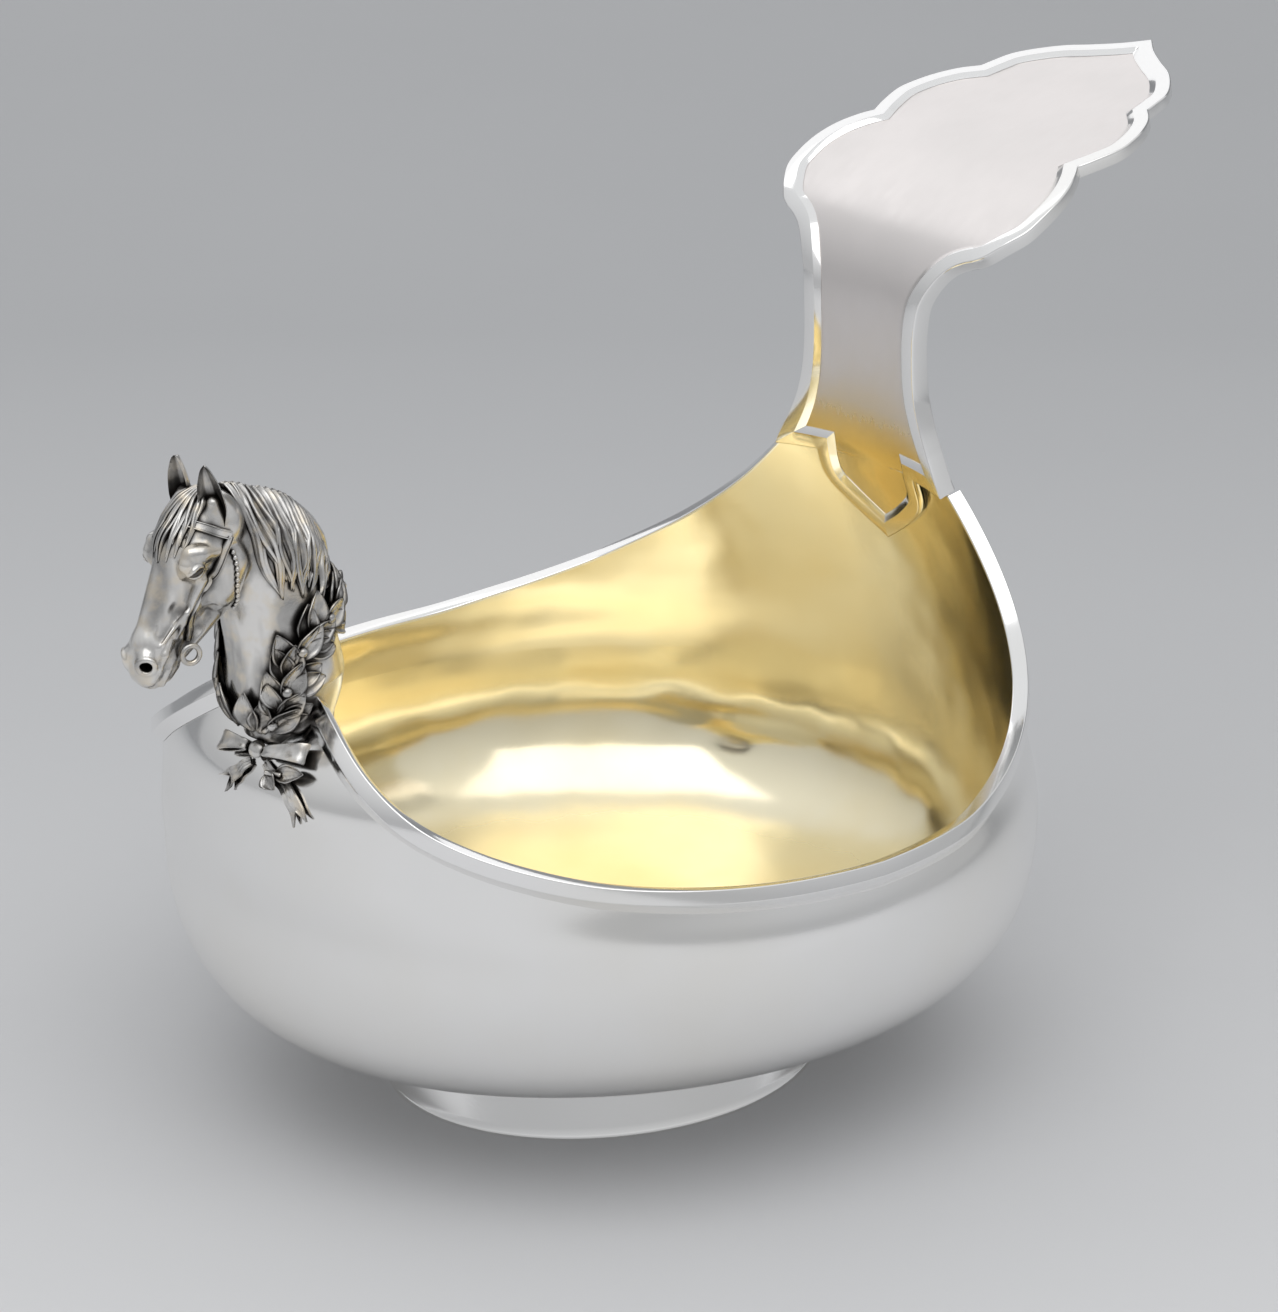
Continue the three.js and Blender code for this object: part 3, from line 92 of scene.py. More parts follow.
def averaged(values, step, spread, reach):
    """The values averaged with their neighbours, which leaves out reach values at both ends."""
    weights = np.exp(-0.5 * (step * np.arange(-reach, reach + 1) / spread) ** 2)
    return np.convolve(values, weights / weights.sum(), "valid")


def smeared(values, step, spread, reach):
    """The values averaged with their neighbours, straight on past both ends."""
    return averaged(np.pad(values, reach, mode="reflect", reflect_type="odd"), step, spread, reach)


def smooth_through(pairs):
    """A curve through the pairs that doesn't overshoot between them."""
    x, y = np.array(pairs, float).T
    slopes = np.diff(y) / np.diff(x)
    product = slopes[:-1] * slopes[1:]
    total = np.where(product > 0, slopes[:-1] + slopes[1:], 1)
    inner = np.where(product > 0, 2 * product / total, 0)
    tangents = np.concatenate([slopes[:1], inner, slopes[-1:]])

    def at(value):
        inside = np.clip(value, x[0], x[-1])
        i = np.clip(np.searchsorted(x, inside) - 1, 0, len(x) - 2)
        width = x[i + 1] - x[i]
        t = (inside - x[i]) / width
        return (y[i] + (y[i + 1] - y[i]) * eased(t)
                + width * t * (1 - t) * ((1 - t) * tangents[i] - t * tangents[i + 1]))

    return at


def softened(curve, low, high, spread, mirror_low, mirror_high):
    """The curve without the small changes of bend where its points join."""
    step = (high - low) / 1600
    reach = int(4 * spread / step)
    grid = low + step * np.arange(-reach, 1601 + reach)
    inside = np.where(grid < low, 2 * low - grid, grid)
    inside = np.where(inside > high, 2 * high - inside, inside)
    values = curve(inside)
    if not mirror_low:
        values = np.where(grid < low, 2 * curve(low) - values, values)
    if not mirror_high:
        values = np.where(grid > high, 2 * curve(high) - values, values)
    smooth = averaged(values, step, spread, reach)
    return lambda value: np.interp(value, grid[reach:-reach], smooth)


def lengths_along(path):
    return np.concatenate([[0], np.cumsum(np.linalg.norm(np.diff(path, axis=0), axis=1))])


def looked_up(where, stops, values):
    """The rows of values, which belong to the stops, at other places between them."""
    return np.stack([np.interp(where, stops, column) for column in np.asarray(values).T], -1)


def cubic(start, end, leaving, arriving, t):
    return ((2 * start - 2 * end + leaving + arriving) * t ** 3
            + (-3 * start + 3 * end - 2 * leaving - arriving) * t ** 2 + leaving * t + start)


def spline(points, spacing):
    """A smooth curve through points, resampled evenly."""
    points = np.array(points, float)
    last = len(points) - 1
    t = np.linspace(0, last, last * 200 + 1)
    i = np.minimum(t.astype(int), last - 1)
    w = (t - i)[:, None]
    p0, p1, p2, p3 = (points[np.clip(i + k, 0, last)] for k in (-1, 0, 1, 2))
    dense = cubic(p1, p2, (p2 - p0) / 2, (p3 - p1) / 2, w)
    lengths = lengths_along(dense)
    count = max(int(round(lengths[-1] / spacing)), 2)
    return looked_up(np.linspace(0, lengths[-1], count + 1), lengths, dense)


def unit(vectors):
    return vectors / np.maximum(np.linalg.norm(vectors, axis=-1, keepdims=True), 1e-12)


def square_to(vectors, along):
    return unit(vectors - along * np.sum(vectors * along, -1, keepdims=True))


def circle(count):
    return np.linspace(0, 2 * np.pi, count, endpoint=False)


# Meshes.
def grid_faces(rows, columns, closed=False):
    i, j = np.meshgrid(np.arange(rows - 1), np.arange(columns if closed else columns - 1), indexing="ij")
    k = (j + 1) % columns
    a, b = i * columns + j, i * columns + k
    return np.stack([a, b, b + columns, a + columns], -1).reshape(-1, 4)


def linked(name, data):
    made = bpy.data.objects.new(name, data)
    bpy.context.scene.collection.objects.link(made)
    return made


def smooth_mesh(name, points, faces, materials):
    """A smooth-shaded mesh from points in metres."""
    mesh = bpy.data.meshes.new(name)
    mesh.from_pydata(np.asarray(points).tolist(), [], [tuple(f) for f in faces])
    mesh.validate()
    for material in materials:
        mesh.materials.append(material)
    mesh.polygons.foreach_set("use_smooth", np.ones(len(mesh.polygons), bool))
    return mesh


def make_piece(name, points, faces, materials, node, pick=None, sharp=40, slot=None):
    """A mesh piece from points in millimetres."""
    mesh = smooth_mesh(name, (np.asarray(points, float) + [SHIFT, 0, 0]) / 1000, faces, materials)
    if pick is not None:
        mesh.polygons.foreach_set("material_index", np.asarray(pick, np.int32))
    if sharp:
        mesh.set_sharp_from_angle(angle=math.radians(sharp))
    piece = linked(name, mesh)
    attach(piece, "root")
    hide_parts(node)


def make_cast(name, points, faces, node, sharp=0):
    make_piece(name, points, faces, [CAST], node, sharp=sharp, slot="cast_silver")


def swept(rings, closed=False, turn=False):
    """Faces over rings of points, each ring a closed section."""
    rings = np.asarray(rings)
    count, sides = rings.shape[:2]
    faces = grid_faces(count, sides, True)
    if closed:
        j = np.arange(sides)
        last = (count - 1) * sides
        k = (j + 1) % sides
        faces = np.concatenate([faces, np.stack([last + j, last + k, k, j], 1)])
    faces = [tuple(f) for f in (faces[:, ::-1] if turn else faces)]
    if not closed:
        first, end = tuple(range(sides)), tuple(range((count - 1) * sides, count * sides))
        faces += [first if turn else first[::-1], end[::-1] if turn else end]
    return rings.reshape(-1, 3), faces


def rounded(corners, radii, steps=4):
    """A closed outline with its corners rounded."""
    corners = np.array(corners, float)
    out = []
    for i, corner in enumerate(corners):
        if not radii[i]:
            out.append(corner)
            continue
        before = unit(corners[i - 1] - corner)
        after = unit(corners[(i + 1) % len(corners)] - corner)
        half = math.acos(np.clip(before @ after, -1, 1)) / 2
        start, end = (corner + way * radii[i] / math.tan(half) for way in (before, after))
        middle = corner + unit(before + after) * radii[i] / math.sin(half)
        for s in np.linspace(0, 1, steps):
            out.append(middle + unit(start * (1 - s) + end * s - middle) * radii[i])
    return np.array(out)


# The bowl's form.
width_above = smooth_through([(0, 0), (6, -1.1), (12, -4), (18, -5.8), (28, -6.6), (64, -7)])
prow_swell = smooth_through([(0, 0), (6, 1.4), (16, 2.9), (80, 2.9)])


def rough_sizes(height):
    up = np.clip((BELLY_HEIGHT - height) / (BELLY_HEIGHT - BOWL_FLOOR), 0, 1)
    share = np.sqrt(np.maximum(0, 1 - up ** (2 / 0.76))) ** 0.72
    above = height - BELLY_HEIGHT
    back = np.maximum(above, 0) / (ROOT_HEIGHT - BELLY_HEIGHT)
    prow = np.maximum(0, (height - PROW_LEAN_START) / (PROW_HEIGHT - PROW_LEAN_START))
    low_length = FLOOR_LENGTH + (BELLY_LENGTH - FLOOR_LENGTH) * share
    low_width = FLOOR_WIDTH + (BELLY_WIDTH - FLOOR_WIDTH) * share
    lower = height < BELLY_HEIGHT
    return np.stack([
        np.where(lower, low_length, BELLY_LENGTH + prow_swell(above) - PROW_LEAN * prow ** 1.35),
        np.where(lower, low_length, BELLY_LENGTH - BACK_LEAN * back ** 1.6),
        np.where(lower, low_width, BELLY_WIDTH + width_above(above)),
    ])


STEP = 0.1
heights = np.arange(BOWL_FLOOR, 136, STEP)
raw = rough_sizes(heights)
soft = np.stack([smeared(row, STEP, 2.6, 100) for row in raw])
sizes_table = raw + (soft - raw) * eased(np.clip((heights - 36) / 12, 0, 1))


def bowl_sizes(height):
    return [np.interp(height, heights, row) for row in sizes_table]


def bowl_point(azimuth, height, lift=0.0):
    prow, back, side = bowl_sizes(height)
    along = np.where(np.cos(azimuth) < 0, prow, back) + lift
    reach = 1 / np.hypot(np.cos(azimuth) / along, np.sin(azimuth) / (side + lift))
    return np.stack(np.broadcast_arrays(reach * np.cos(azimuth), reach * np.sin(azimuth), height), -1)


def bowl_normal(azimuth, height):
    around = bowl_point(azimuth + 0.01, height) - bowl_point(azimuth - 0.01, height)
    up = bowl_point(azimuth, height + 0.3) - bowl_point(azimuth, height - 0.3)
    return unit(np.cross(around, up))


def on_bowl(points, lift=0.0):
    azimuth = np.arctan2(points[..., 1], points[..., 0])
    normal = bowl_normal(azimuth, points[..., 2])
    return bowl_point(azimuth, points[..., 2]) + normal * np.asarray(lift)[..., None]


LOWEST = 93.0
prow_rise = softened(smooth_through([
    (93, 0), (110, 0.035), (130, 0.127), (143, 0.257), (153.4, 0.426), (161.3, 0.629), (169.4, 0.864),
    (174, 0.955), (180, 1), (186, 0.955)]), 93, 180, 2.2, True, True)
inner_side = np.interp(ROOT_HEIGHT, heights, raw[2]) - BOWL_WALL
inner_back = np.interp(ROOT_HEIGHT, heights, raw[1]) - BOWL_WALL
ROOT_AZIMUTH = math.degrees(math.atan2(
    ROOT_WIDTH, inner_back * math.sqrt(1 - (ROOT_WIDTH / inner_side) ** 2)))
back_rise = softened(smooth_through([
    (0, 1), (0.096, 0.75), (0.17, 0.589), (0.247, 0.448), (0.341, 0.317), (0.441, 0.205), (0.595, 0.093),
    (0.77, 0.018), (1, 0)]), 0, 1, 0.022, False, True)


def rim_height(azimuth):
    turn = np.abs(np.degrees(np.arctan2(np.sin(azimuth), np.cos(azimuth))))
    share = np.maximum(0, (turn - ROOT_AZIMUTH) / (LOWEST - ROOT_AZIMUTH))
    prow, back = (PROW_HEIGHT - RIM_LOW) * prow_rise(turn), (ROOT_HEIGHT - RIM_LOW) * back_rise(share)
    return RIM_LOW + np.where(turn >= LOWEST, prow, back)


def rim_point(azimuth):
    return bowl_point(azimuth, rim_height(azimuth))


def rim_frame(azimuth):
    """The rim's places there, its way along, out and down."""
    along = unit(rim_point(azimuth + 0.006) - rim_point(azimuth - 0.006))
    out = square_to(bowl_normal(azimuth, rim_height(azimuth)), along)
    return rim_point(azimuth), along, out, np.cross(along, out)


def beside_rim(azimuth, drop, lift):
    at, _, out, down = rim_frame(azimuth)
    if drop <= 0:
        return at + out * lift + down * drop
    below = at + down * drop
    turn = np.arctan2(below[:, 1], below[:, 0])
    return bowl_point(turn, below[:, 2]) + bowl_normal(turn, below[:, 2]) * lift


# Materials.
def new_material(name, metallic=1.0):
    material = bpy.data.materials.new(name)
    material.use_nodes = True
    tree = material.node_tree
    shader = tree.nodes["Principled BSDF"]
    shader.inputs["Metallic"].default_value = metallic
    place = tree.nodes.new("ShaderNodeTexCoord")
    return material, tree, shader, place.outputs["Object"]


def node(tree, kind, inputs=None, **settings):
    made = tree.nodes.new(kind)
    for key, value in settings.items():
        setattr(made, key, value)
    for key, value in (inputs or {}).items():
        socket = made.inputs[key]
        if isinstance(value, bpy.types.NodeSocket):
            tree.links.new(value, socket)
        else:
            socket.default_value = value
    return made


def noise(tree, place, scale, detail=3.0, stretch=None, rough=0.5):
    if stretch:
        place = node(tree, "ShaderNodeMapping", {"Vector": place, "Scale": stretch}).outputs["Vector"]
    return node(tree, "ShaderNodeTexNoise", {
        "Vector": place, "Scale": scale, "Detail": detail, "Roughness": rough}).outputs["Fac"]


def finish(tree, shader, color, rough, surface):
    for name, value in (("Base Color", color), ("Roughness", rough), ("Normal", surface)):
        tree.links.new(value, shader.inputs[name])


def ramp(tree, value, low, high, start=0.0, end=1.0):
    return node(tree, "ShaderNodeMapRange", {
        "Value": value, "From Min": start, "From Max": end, "To Min": low, "To Max": high,
    }).outputs["Result"]


def computed(tree, operation, first, second):
    return node(tree, "ShaderNodeMath", {0: first, 1: second}, operation=operation).outputs[0]


def height_of(tree, place):
    return node(tree, "ShaderNodeSeparateXYZ", {"Vector": place}).outputs["Z"]


def mixed(tree, share, first, second):
    mix = node(tree, "ShaderNodeMix", data_type="RGBA")
    for index, value in ((0, share), (6, first), (7, second)):
        if isinstance(value, bpy.types.NodeSocket):
            tree.links.new(value, mix.inputs[index])
        else:
            mix.inputs[index].default_value = value if index == 0 else (*value, 1)
    return mix.outputs[2]


def bump(tree, height, strength, distance, below=None):
    inputs = {"Height": height, "Strength": strength, "Distance": distance}
    if below is not None:
        inputs["Normal"] = below
    return node(tree, "ShaderNodeBump", inputs).outputs["Normal"]


def polished(name, color, warm, rough, wave=0.0, dull_below=0.0):
    """Hand-polished metal: slow unevenness, fine scratches and a faint tarnish."""
    material, tree, shader, place = new_material(name)
    patches = noise(tree, place, 22, 4)
    fine = noise(tree, place, 2400, 2, (1, 0.06, 0.35))
    cross = noise(tree, place, 1900, 2, (0.08, 1, 0.5))
    tarnish = ramp(tree, patches, 0, 0.75, 0.42, 0.72)
    matt = ramp(tree, patches, rough * 0.75, rough * 1.35, 0.3, 0.7)
    if dull_below:
        matt = computed(tree, "ADD", matt, ramp(tree, height_of(tree, place), 0.16, 0, 0.024, dull_below))
    surface = bump(tree, computed(tree, "ADD", fine, cross), 0.05, 0.00006)
    if wave:
        surface = bump(tree, noise(tree, place, 26, 2), wave, 0.004, surface)
    finish(tree, shader, mixed(tree, tarnish, color, warm), matt, surface)
    return material


def satin(name, gilt_low, gilt_high):
    """The handle's panel: matt silver with a fine grain, gilt and polished at its foot."""
    material, tree, shader, place = new_material(name)
    patches = noise(tree, place, 30, 3)
    grain = noise(tree, place, 5200, 2)
    rubbed = noise(tree, place, 700, 3, (0.25, 1, 0.25))
    slow = ramp(tree, noise(tree, place, 24, 0), -0.003, 0.003, 0.3, 0.7)
    gilt = ramp(tree, computed(tree, "ADD", height_of(tree, place), slow), 1, 0, gilt_low, gilt_high)
    silver = mixed(tree, ramp(tree, patches, 0, 1, 0.35, 0.7), (0.83, 0.79, 0.775), (0.78, 0.745, 0.73))
    color = mixed(tree, gilt, silver, (0.93, 0.76, 0.42))
    matt = computed(tree, "MULTIPLY", ramp(tree, gilt, 1, 0.4), ramp(tree, rubbed, 0.3, 0.38, 0.3, 0.7))
    surface = bump(tree, rubbed, 0.03, 0.00006, bump(tree, noise(tree, place, 60, 2), 0.12, 0.001))
    finish(tree, shader, color, matt, bump(tree, grain, 0.08, 0.00006, surface))
    return material


def cast(name, bright, warm, painted_shade_color, rough, depth=0.0022):
    """Cast silver, polished on what stands out, with painted shade darkening its recesses and the gaps between
    parts, and darker upright streaks of painted reflection.
    """
    material, tree, shader, place = new_material(name)
    hollow = node(tree, "ShaderNodeAmbientOcclusion", {"Distance": depth}, samples=12).outputs["AO"]
    broad = node(tree, "ShaderNodeAmbientOcclusion", {"Distance": depth * 4}, samples=8).outputs["AO"]
    patches = noise(tree, place, 240, 4)
    # Painted reflection: noise stretched upright halves the colour in streaks, standing in for dark
    # reflections.
    painted_reflection_streaks = noise(tree, place, 150, 3, (1, 1, 0.3))
    pits = noise(tree, place, 1500, 3)
    # Painted shade: ambient occlusion over short and broad distances darkens the colour towards near-black in
    # recesses and between parts; random patches vary where it reaches.
    both = computed(tree, "MULTIPLY", hollow, ramp(tree, broad, 0.5, 1, 0.25, 0.85))
    painted_shade_and_wear = computed(tree, "ADD", both, ramp(tree, patches, -0.14, 0.12, 0.3, 0.7))
    color_with_painted_reflections = mixed(tree, ramp(tree, painted_reflection_streaks, 0, 0.85, 0.4, 0.6), bright, [0.5 * c for c in bright])
    color = mixed(tree, ramp(tree, patches, 0, 0.85, 0.48, 0.7), color_with_painted_reflections, warm)
    color = mixed(tree, ramp(tree, painted_shade_and_wear, 1, 0, 0.36, 0.9), color, painted_shade_color)
    surface = bump(tree, pits, 0.12, 0.00015, bump(tree, patches, 0.1, 0.0004))
    finish(tree, shader, color, ramp(tree, painted_shade_and_wear, rough + 0.2, rough, 0.4, 0.93), surface)
    return material


SILVER = polished("polished_silver", (0.93, 0.925, 0.915), (0.90, 0.885, 0.85), 0.13)
RIM_SILVER = polished("rim_silver", (0.94, 0.935, 0.93), (0.91, 0.90, 0.87), 0.11)
GILT = polished("fire_gilt", (0.97, 0.89, 0.66), (0.95, 0.82, 0.52), 0.13, 0.3, 0.036)
GILT_EDGE = polished("gilt_edge", (0.95, 0.84, 0.58), (0.92, 0.76, 0.44), 0.12)
SATIN = satin("satin_silver", 0.129, 0.141)
# Painted shade: the eyeballs get a near-black silver that stands in for the shade in the eye's hollow.
EYE_PAINTED_SHADE = cast("eye_painted_shade", (0.13, 0.12, 0.11), (0.2, 0.17, 0.14), (0.02, 0.018, 0.016), 0.16)
CAST = cast("cast_silver", (0.84, 0.825, 0.80), (0.80, 0.71, 0.57), (0.05, 0.044, 0.04), 0.22)


# The bowl: one skin from the middle of the floor up the outside, over the edge and down the inside.
def make_bowl():
    root = math.radians(ROOT_AZIMUTH)
    azimuth = np.concatenate([np.linspace(-root, root, 25)[:-1],
                              np.linspace(root, 2 * math.pi - root, 271)[:-1]])
    _, along, _, _ = rim_frame(azimuth)
    turn = np.abs(np.arctan2(np.sin(azimuth), np.cos(azimuth)))
    slant = np.where(turn < root + 1e-4, 1, np.hypot(along[:, 0], along[:, 1]))
    top = rim_height(azimuth) - (BAND_LIP + 0.1) / np.maximum(slant, 0.35)
    angle = np.linspace(0, math.pi / 2, 46)
    low = BELLY_HEIGHT - (BELLY_HEIGHT - BOWL_FLOOR) * np.cos(angle) ** 0.76
    low[0] = BOWL_FLOOR
    outer = [bowl_point(azimuth, BOWL_FLOOR) * [k, k, 1] for k in (0.02, 0.35, 0.7, 0.93)]
    outer += [bowl_point(azimuth, height) for height in low]
    outer += [bowl_point(azimuth, BELLY_HEIGHT + (top - BELLY_HEIGHT) * share)
              for share in np.linspace(0, 1, 47)[1:]]
    inner = []
    for ring in outer:
        height = ring[:, 2]
        scaled = np.where(height <= BOWL_FLOOR + 1e-6, np.hypot(ring[:, 0], ring[:, 1]) / np.hypot(
            *bowl_point(azimuth, height)[:, :2].T), 1)
        share = (height - BOWL_FLOOR) / (top - BOWL_FLOOR)
        raised = BOWL_FLOOR + BOWL_WALL + (top - BOWL_FLOOR - BOWL_WALL) * share
        place = bowl_point(azimuth, height, -BOWL_WALL)
        place[:, :2] *= scaled[:, None]
        place[:, 2] = raised
        inner.append(place)
    rings = np.array(outer + inner[::-1])
    inside = (np.arange(len(rings) - 1) >= len(outer) - 1).astype(int)
    pick = np.concatenate([np.repeat(inside, len(azimuth)), [0, 1]])
    make_piece("bowl", *swept(rings), [SILVER, GILT], "bowl_shell", pick, 50, "silver")


def make_foot():
    azimuth = np.linspace(0, 2 * math.pi, 257)[:-1]
    fillet = 1.2
    bottom, top = np.array(FOOT_BOTTOM), np.array(FOOT_TOP)
    section = [(*bottom, 0.0), (*bottom, 0.5), (*(bottom - [0.2, 0.25]), 0.95)]
    for share in np.linspace(0.06, 0.93, 12):
        section.append((*(bottom + (top - bottom) * share), FOOT_HEIGHT * share))
    start = FOOT_HEIGHT * 0.93
    for turn in (0.35, 0.7, 1.0):
        rise = (BOWL_FLOOR - start) * math.sin(turn * math.pi / 2)
        section.append((*(top + fillet * turn ** 2), start + rise))
    section += [(*(top - FOOT_WALL), BOWL_FLOOR), (*(bottom - FOOT_WALL), 0.0)]
    rings = np.array([np.stack([a * np.cos(azimuth), b * np.sin(azimuth), np.full_like(azimuth, z)], -1)
                      for a, b, z in section]).transpose(1, 0, 2)
    make_piece("foot", *swept(rings, True), [SILVER], "foot_ring", sharp=40, slot="silver")


def make_band(side, name):
    hem = 0.05
    section = rounded([
        (0, -BOWL_WALL), (0, BAND_THICKNESS), (BAND_FACE, BAND_THICKNESS), (BAND_FACE + BAND_BEVEL, hem),
        (BAND_LIP, hem), (BAND_LIP, -BOWL_WALL)], [0.45, 0.3, 0.3, 0.06, 0, 0], 5)
    azimuth = np.radians(np.linspace(ROOT_AZIMUTH + 0.2, 179.96, 320)) * side
    rings = np.stack([beside_rim(azimuth, drop, lift) for drop, lift in section], 1)
    node_name = name.replace("moulding", "band")
    make_piece(name, *swept(rings, turn=side > 0), [RIM_SILVER], node_name, sharp=50, slot="silver")


# The handle's form.
SEAT_DEPTH = CLEARANCE + TONGUE + PANEL_RECESS
LINE_STEP = 0.25
ROOT_BLEND = 0.22
SWEEP = [(-0.0076, 0.041), (-0.0151, 0.0852), (-0.0215, 0.129), (-0.0259, 0.186), (-0.0265, 0.243),
         (-0.0215, 0.287), (-0.0095, 0.322), (0.0095, 0.354), (0.0366, 0.383), (0.077, 0.4095),
         (0.128, 0.4366), (0.1956, 0.463), (0.279, 0.4845), (0.405, 0.5117), (0.604, 0.552)]


def raw_back(height):
    return np.interp(height, heights, raw[1]) - BOWL_WALL


def face_line():
    """The middle of the handle's face: the lengths along it from the root, and its places."""
    root = np.array([raw_back(ROOT_HEIGHT) - SEAT_DEPTH, ROOT_HEIGHT])
    below = [(raw_back(ROOT_HEIGHT - s * DROP_DEPTH) - SEAT_DEPTH, ROOT_HEIGHT - s * DROP_DEPTH)
             for s in (1.3, 1, 0.7, 0.35)]
    above = [(root[0] + out * HANDLE_REACH, root[1] + up * HANDLE_REACH) for out, up in SWEEP]
    points = np.array(below + [tuple(root)] + above)
    points = np.concatenate([[2 * points[0] - points[1]], points, [2 * points[-1] - points[-2]]])
    dense = []
    for i in range(1, len(points) - 2):
        p = points[i - 1:i + 3]
        d0, d1, d2 = (np.linalg.norm(p[k + 1] - p[k]) ** 0.5 for k in range(3))
        t1 = ((p[1] - p[0]) / d0 - (p[2] - p[0]) / (d0 + d1) + (p[2] - p[1]) / d1) * d1
        t2 = ((p[2] - p[1]) / d1 - (p[3] - p[1]) / (d1 + d2) + (p[3] - p[2]) / d2) * d1
        dense.append(cubic(p[1], p[2], t1, t2, np.linspace(0, 1, 80, endpoint=False)[:, None]))
    dense = np.concatenate(dense + [points[-2:-1]])
    lengths = lengths_along(dense)
    start = np.interp(ROOT_HEIGHT, dense[:, 1], lengths)
    even = np.arange(0, lengths[-1], LINE_STEP)
    line = looked_up(even, lengths, dense)
    return even - start, np.stack([smeared(line[:, k], LINE_STEP, 1.6, 24) for k in range(2)], 1)


line_along, line_points = face_line()
line_slopes = unit(np.gradient(line_points, axis=0))


def handle_point(along, across, lift):
    along, across, lift = np.broadcast_arrays(along, across, lift)
    x, z = looked_up(along, line_along, line_points).T
    sx, sz = looked_up(along, line_along, line_slopes).T
    fade = 1 - eased(np.clip(along / (ROOT_BLEND * HANDLE_REACH), 0, 1))
    rise = lift + fade * inner_back * (1 - np.sqrt(1 - (across / inner_side) ** 2))
    return np.stack([x - sz * rise, across, z + sx * rise], -1)


ROOT_FLARE = [(0.055, 0.52), (0.091, 0.26), (0.14, 0.06), (0.2, 0)]
NECK_FLARE = [(0.252, 0.03), (0.284, 0.1), (0.322, 0.32), (0.347, 0.55), (0.361, 0.79), (0.369, 1)]
LOBES = [
    [(0.369, 0.7635), (0.382, 0.835), (0.406, 0.906), (0.438, 0.98), (0.47, 1), (0.51, 0.995),
     (0.548, 0.96), (0.583, 0.894), (0.602, 0.842)],
    [(0.602, 0.842), (0.6315, 0.882), (0.674, 0.919), (0.7085, 0.901), (0.7426, 0.857), (0.775, 0.783),
     (0.799, 0.687)],
    [(0.799, 0.687), (0.824, 0.67), (0.8555, 0.64), (0.8864, 0.557), (0.918, 0.431), (0.9426, 0.278),
     (0.969, 0.13), (1, 0)],
]
DROP_SHAPE = [(0, 1), (0.25, 1), (0.42, 0.92), (0.56, 0.76), (0.77, 0.44), (1, 0)]
FINE = 0.7


def straight(start, end, length):
    """Stops of a straight line, without its end."""
    count = int(length / FINE)
    return [start + (end - start) * t for t in np.arange(count) / count]


def half_outline():
    """The outline's points from root to tip, and the index of each corner among them."""
    corner = LOBES[0][0][1] * HANDLE_WIDTH
    neck = [(a, NECK_WIDTH + (ROOT_WIDTH - NECK_WIDTH) * s) for a, s in ROOT_FLARE]
    neck += [(a, NECK_WIDTH + (corner - NECK_WIDTH) * s) for a, s in NECK_FLARE]
    sections = [neck] + [[(a, s * HANDLE_WIDTH) for a, s in lobe] for lobe in LOBES]
    flare = np.array([neck[0][0] * HANDLE_REACH, neck[0][1]])
    start = np.array([0, ROOT_WIDTH])
    path = straight(start, flare, np.linalg.norm(flare - start))
    corners = [0]
    for section in sections:
        corners.append(len(path))
        path += list(spline([(a * HANDLE_REACH, b) for a, b in section], FINE)[:-1])
    path.append(np.array([HANDLE_REACH, 0]))
    corners.append(len(path) - 1)
    return np.array(path), corners


def half_drop():
    return spline([(-a * DROP_DEPTH, s * DROP_WIDTH) for a, s in DROP_SHAPE], FINE)


handle_depth = smooth_through([(0, 0), (0.25, 0.05), (0.37, 0.5), (0.46, 0.75), (1, 1)])


def make_plate():
    drop = half_drop()[::-1]
    outline, _ = half_outline()
    along = np.concatenate([drop[:, 0] - 0.05, outline[:, 0]])
    across = np.maximum(np.concatenate([drop[:, 1], outline[:, 1]]), 0.3)
    deep = np.concatenate([np.full(len(drop), PANEL_RECESS + TONGUE + 0.2),
                           NECK_THICKNESS + (TIP_THICKNESS - NECK_THICKNESS) * handle_depth(
                               outline[:, 0] / HANDLE_REACH)])
    columns = np.sin(np.linspace(-math.pi / 2, math.pi / 2, 49))
    rings = []
    for a, half, thick in zip(along, across, deep):
        edge = min(0.7, thick * 0.3, half * 0.5)
        section = [(half * c, -PANEL_RECESS) for c in columns[::-1]]
        section += [(-half, -thick + edge), (-half + edge * 0.3, -thick + edge * 0.3)]
        section += [((half - edge) * c, -thick) for c in columns]
        section += [(half - edge * 0.3, -thick + edge * 0.3), (half, -thick + edge)]
        section = np.array(section)
        rings.append(handle_point(np.full(len(section), a), section[:, 0], section[:, 1]))
    sides = len(rings[0])
    index = np.tile(np.arange(sides), len(rings) - 1)
    pick = np.where(index < len(columns) - 1, 0, 1)
    make_piece("handle_blade", *swept(rings), [SATIN, SILVER], "handle_plate",
               np.concatenate([pick, [1, 1]]), 35, "satin_silver")


def mitres(path, before, after):
    """For each stop of a path, the inward direction, lengthened at corners."""
    whole = np.concatenate([[before], path, [after]])
    steps = unit(np.diff(whole, axis=0))
    incoming, outgoing = steps[:-1], steps[1:]
    both = incoming + outgoing
    inward = unit(np.stack([both[:, 1], -both[:, 0]], 1))
    square = np.stack([incoming[:, 1], -incoming[:, 0]], 1)
    return inward / np.maximum(np.sum(inward * square, 1), 0.35)[:, None]


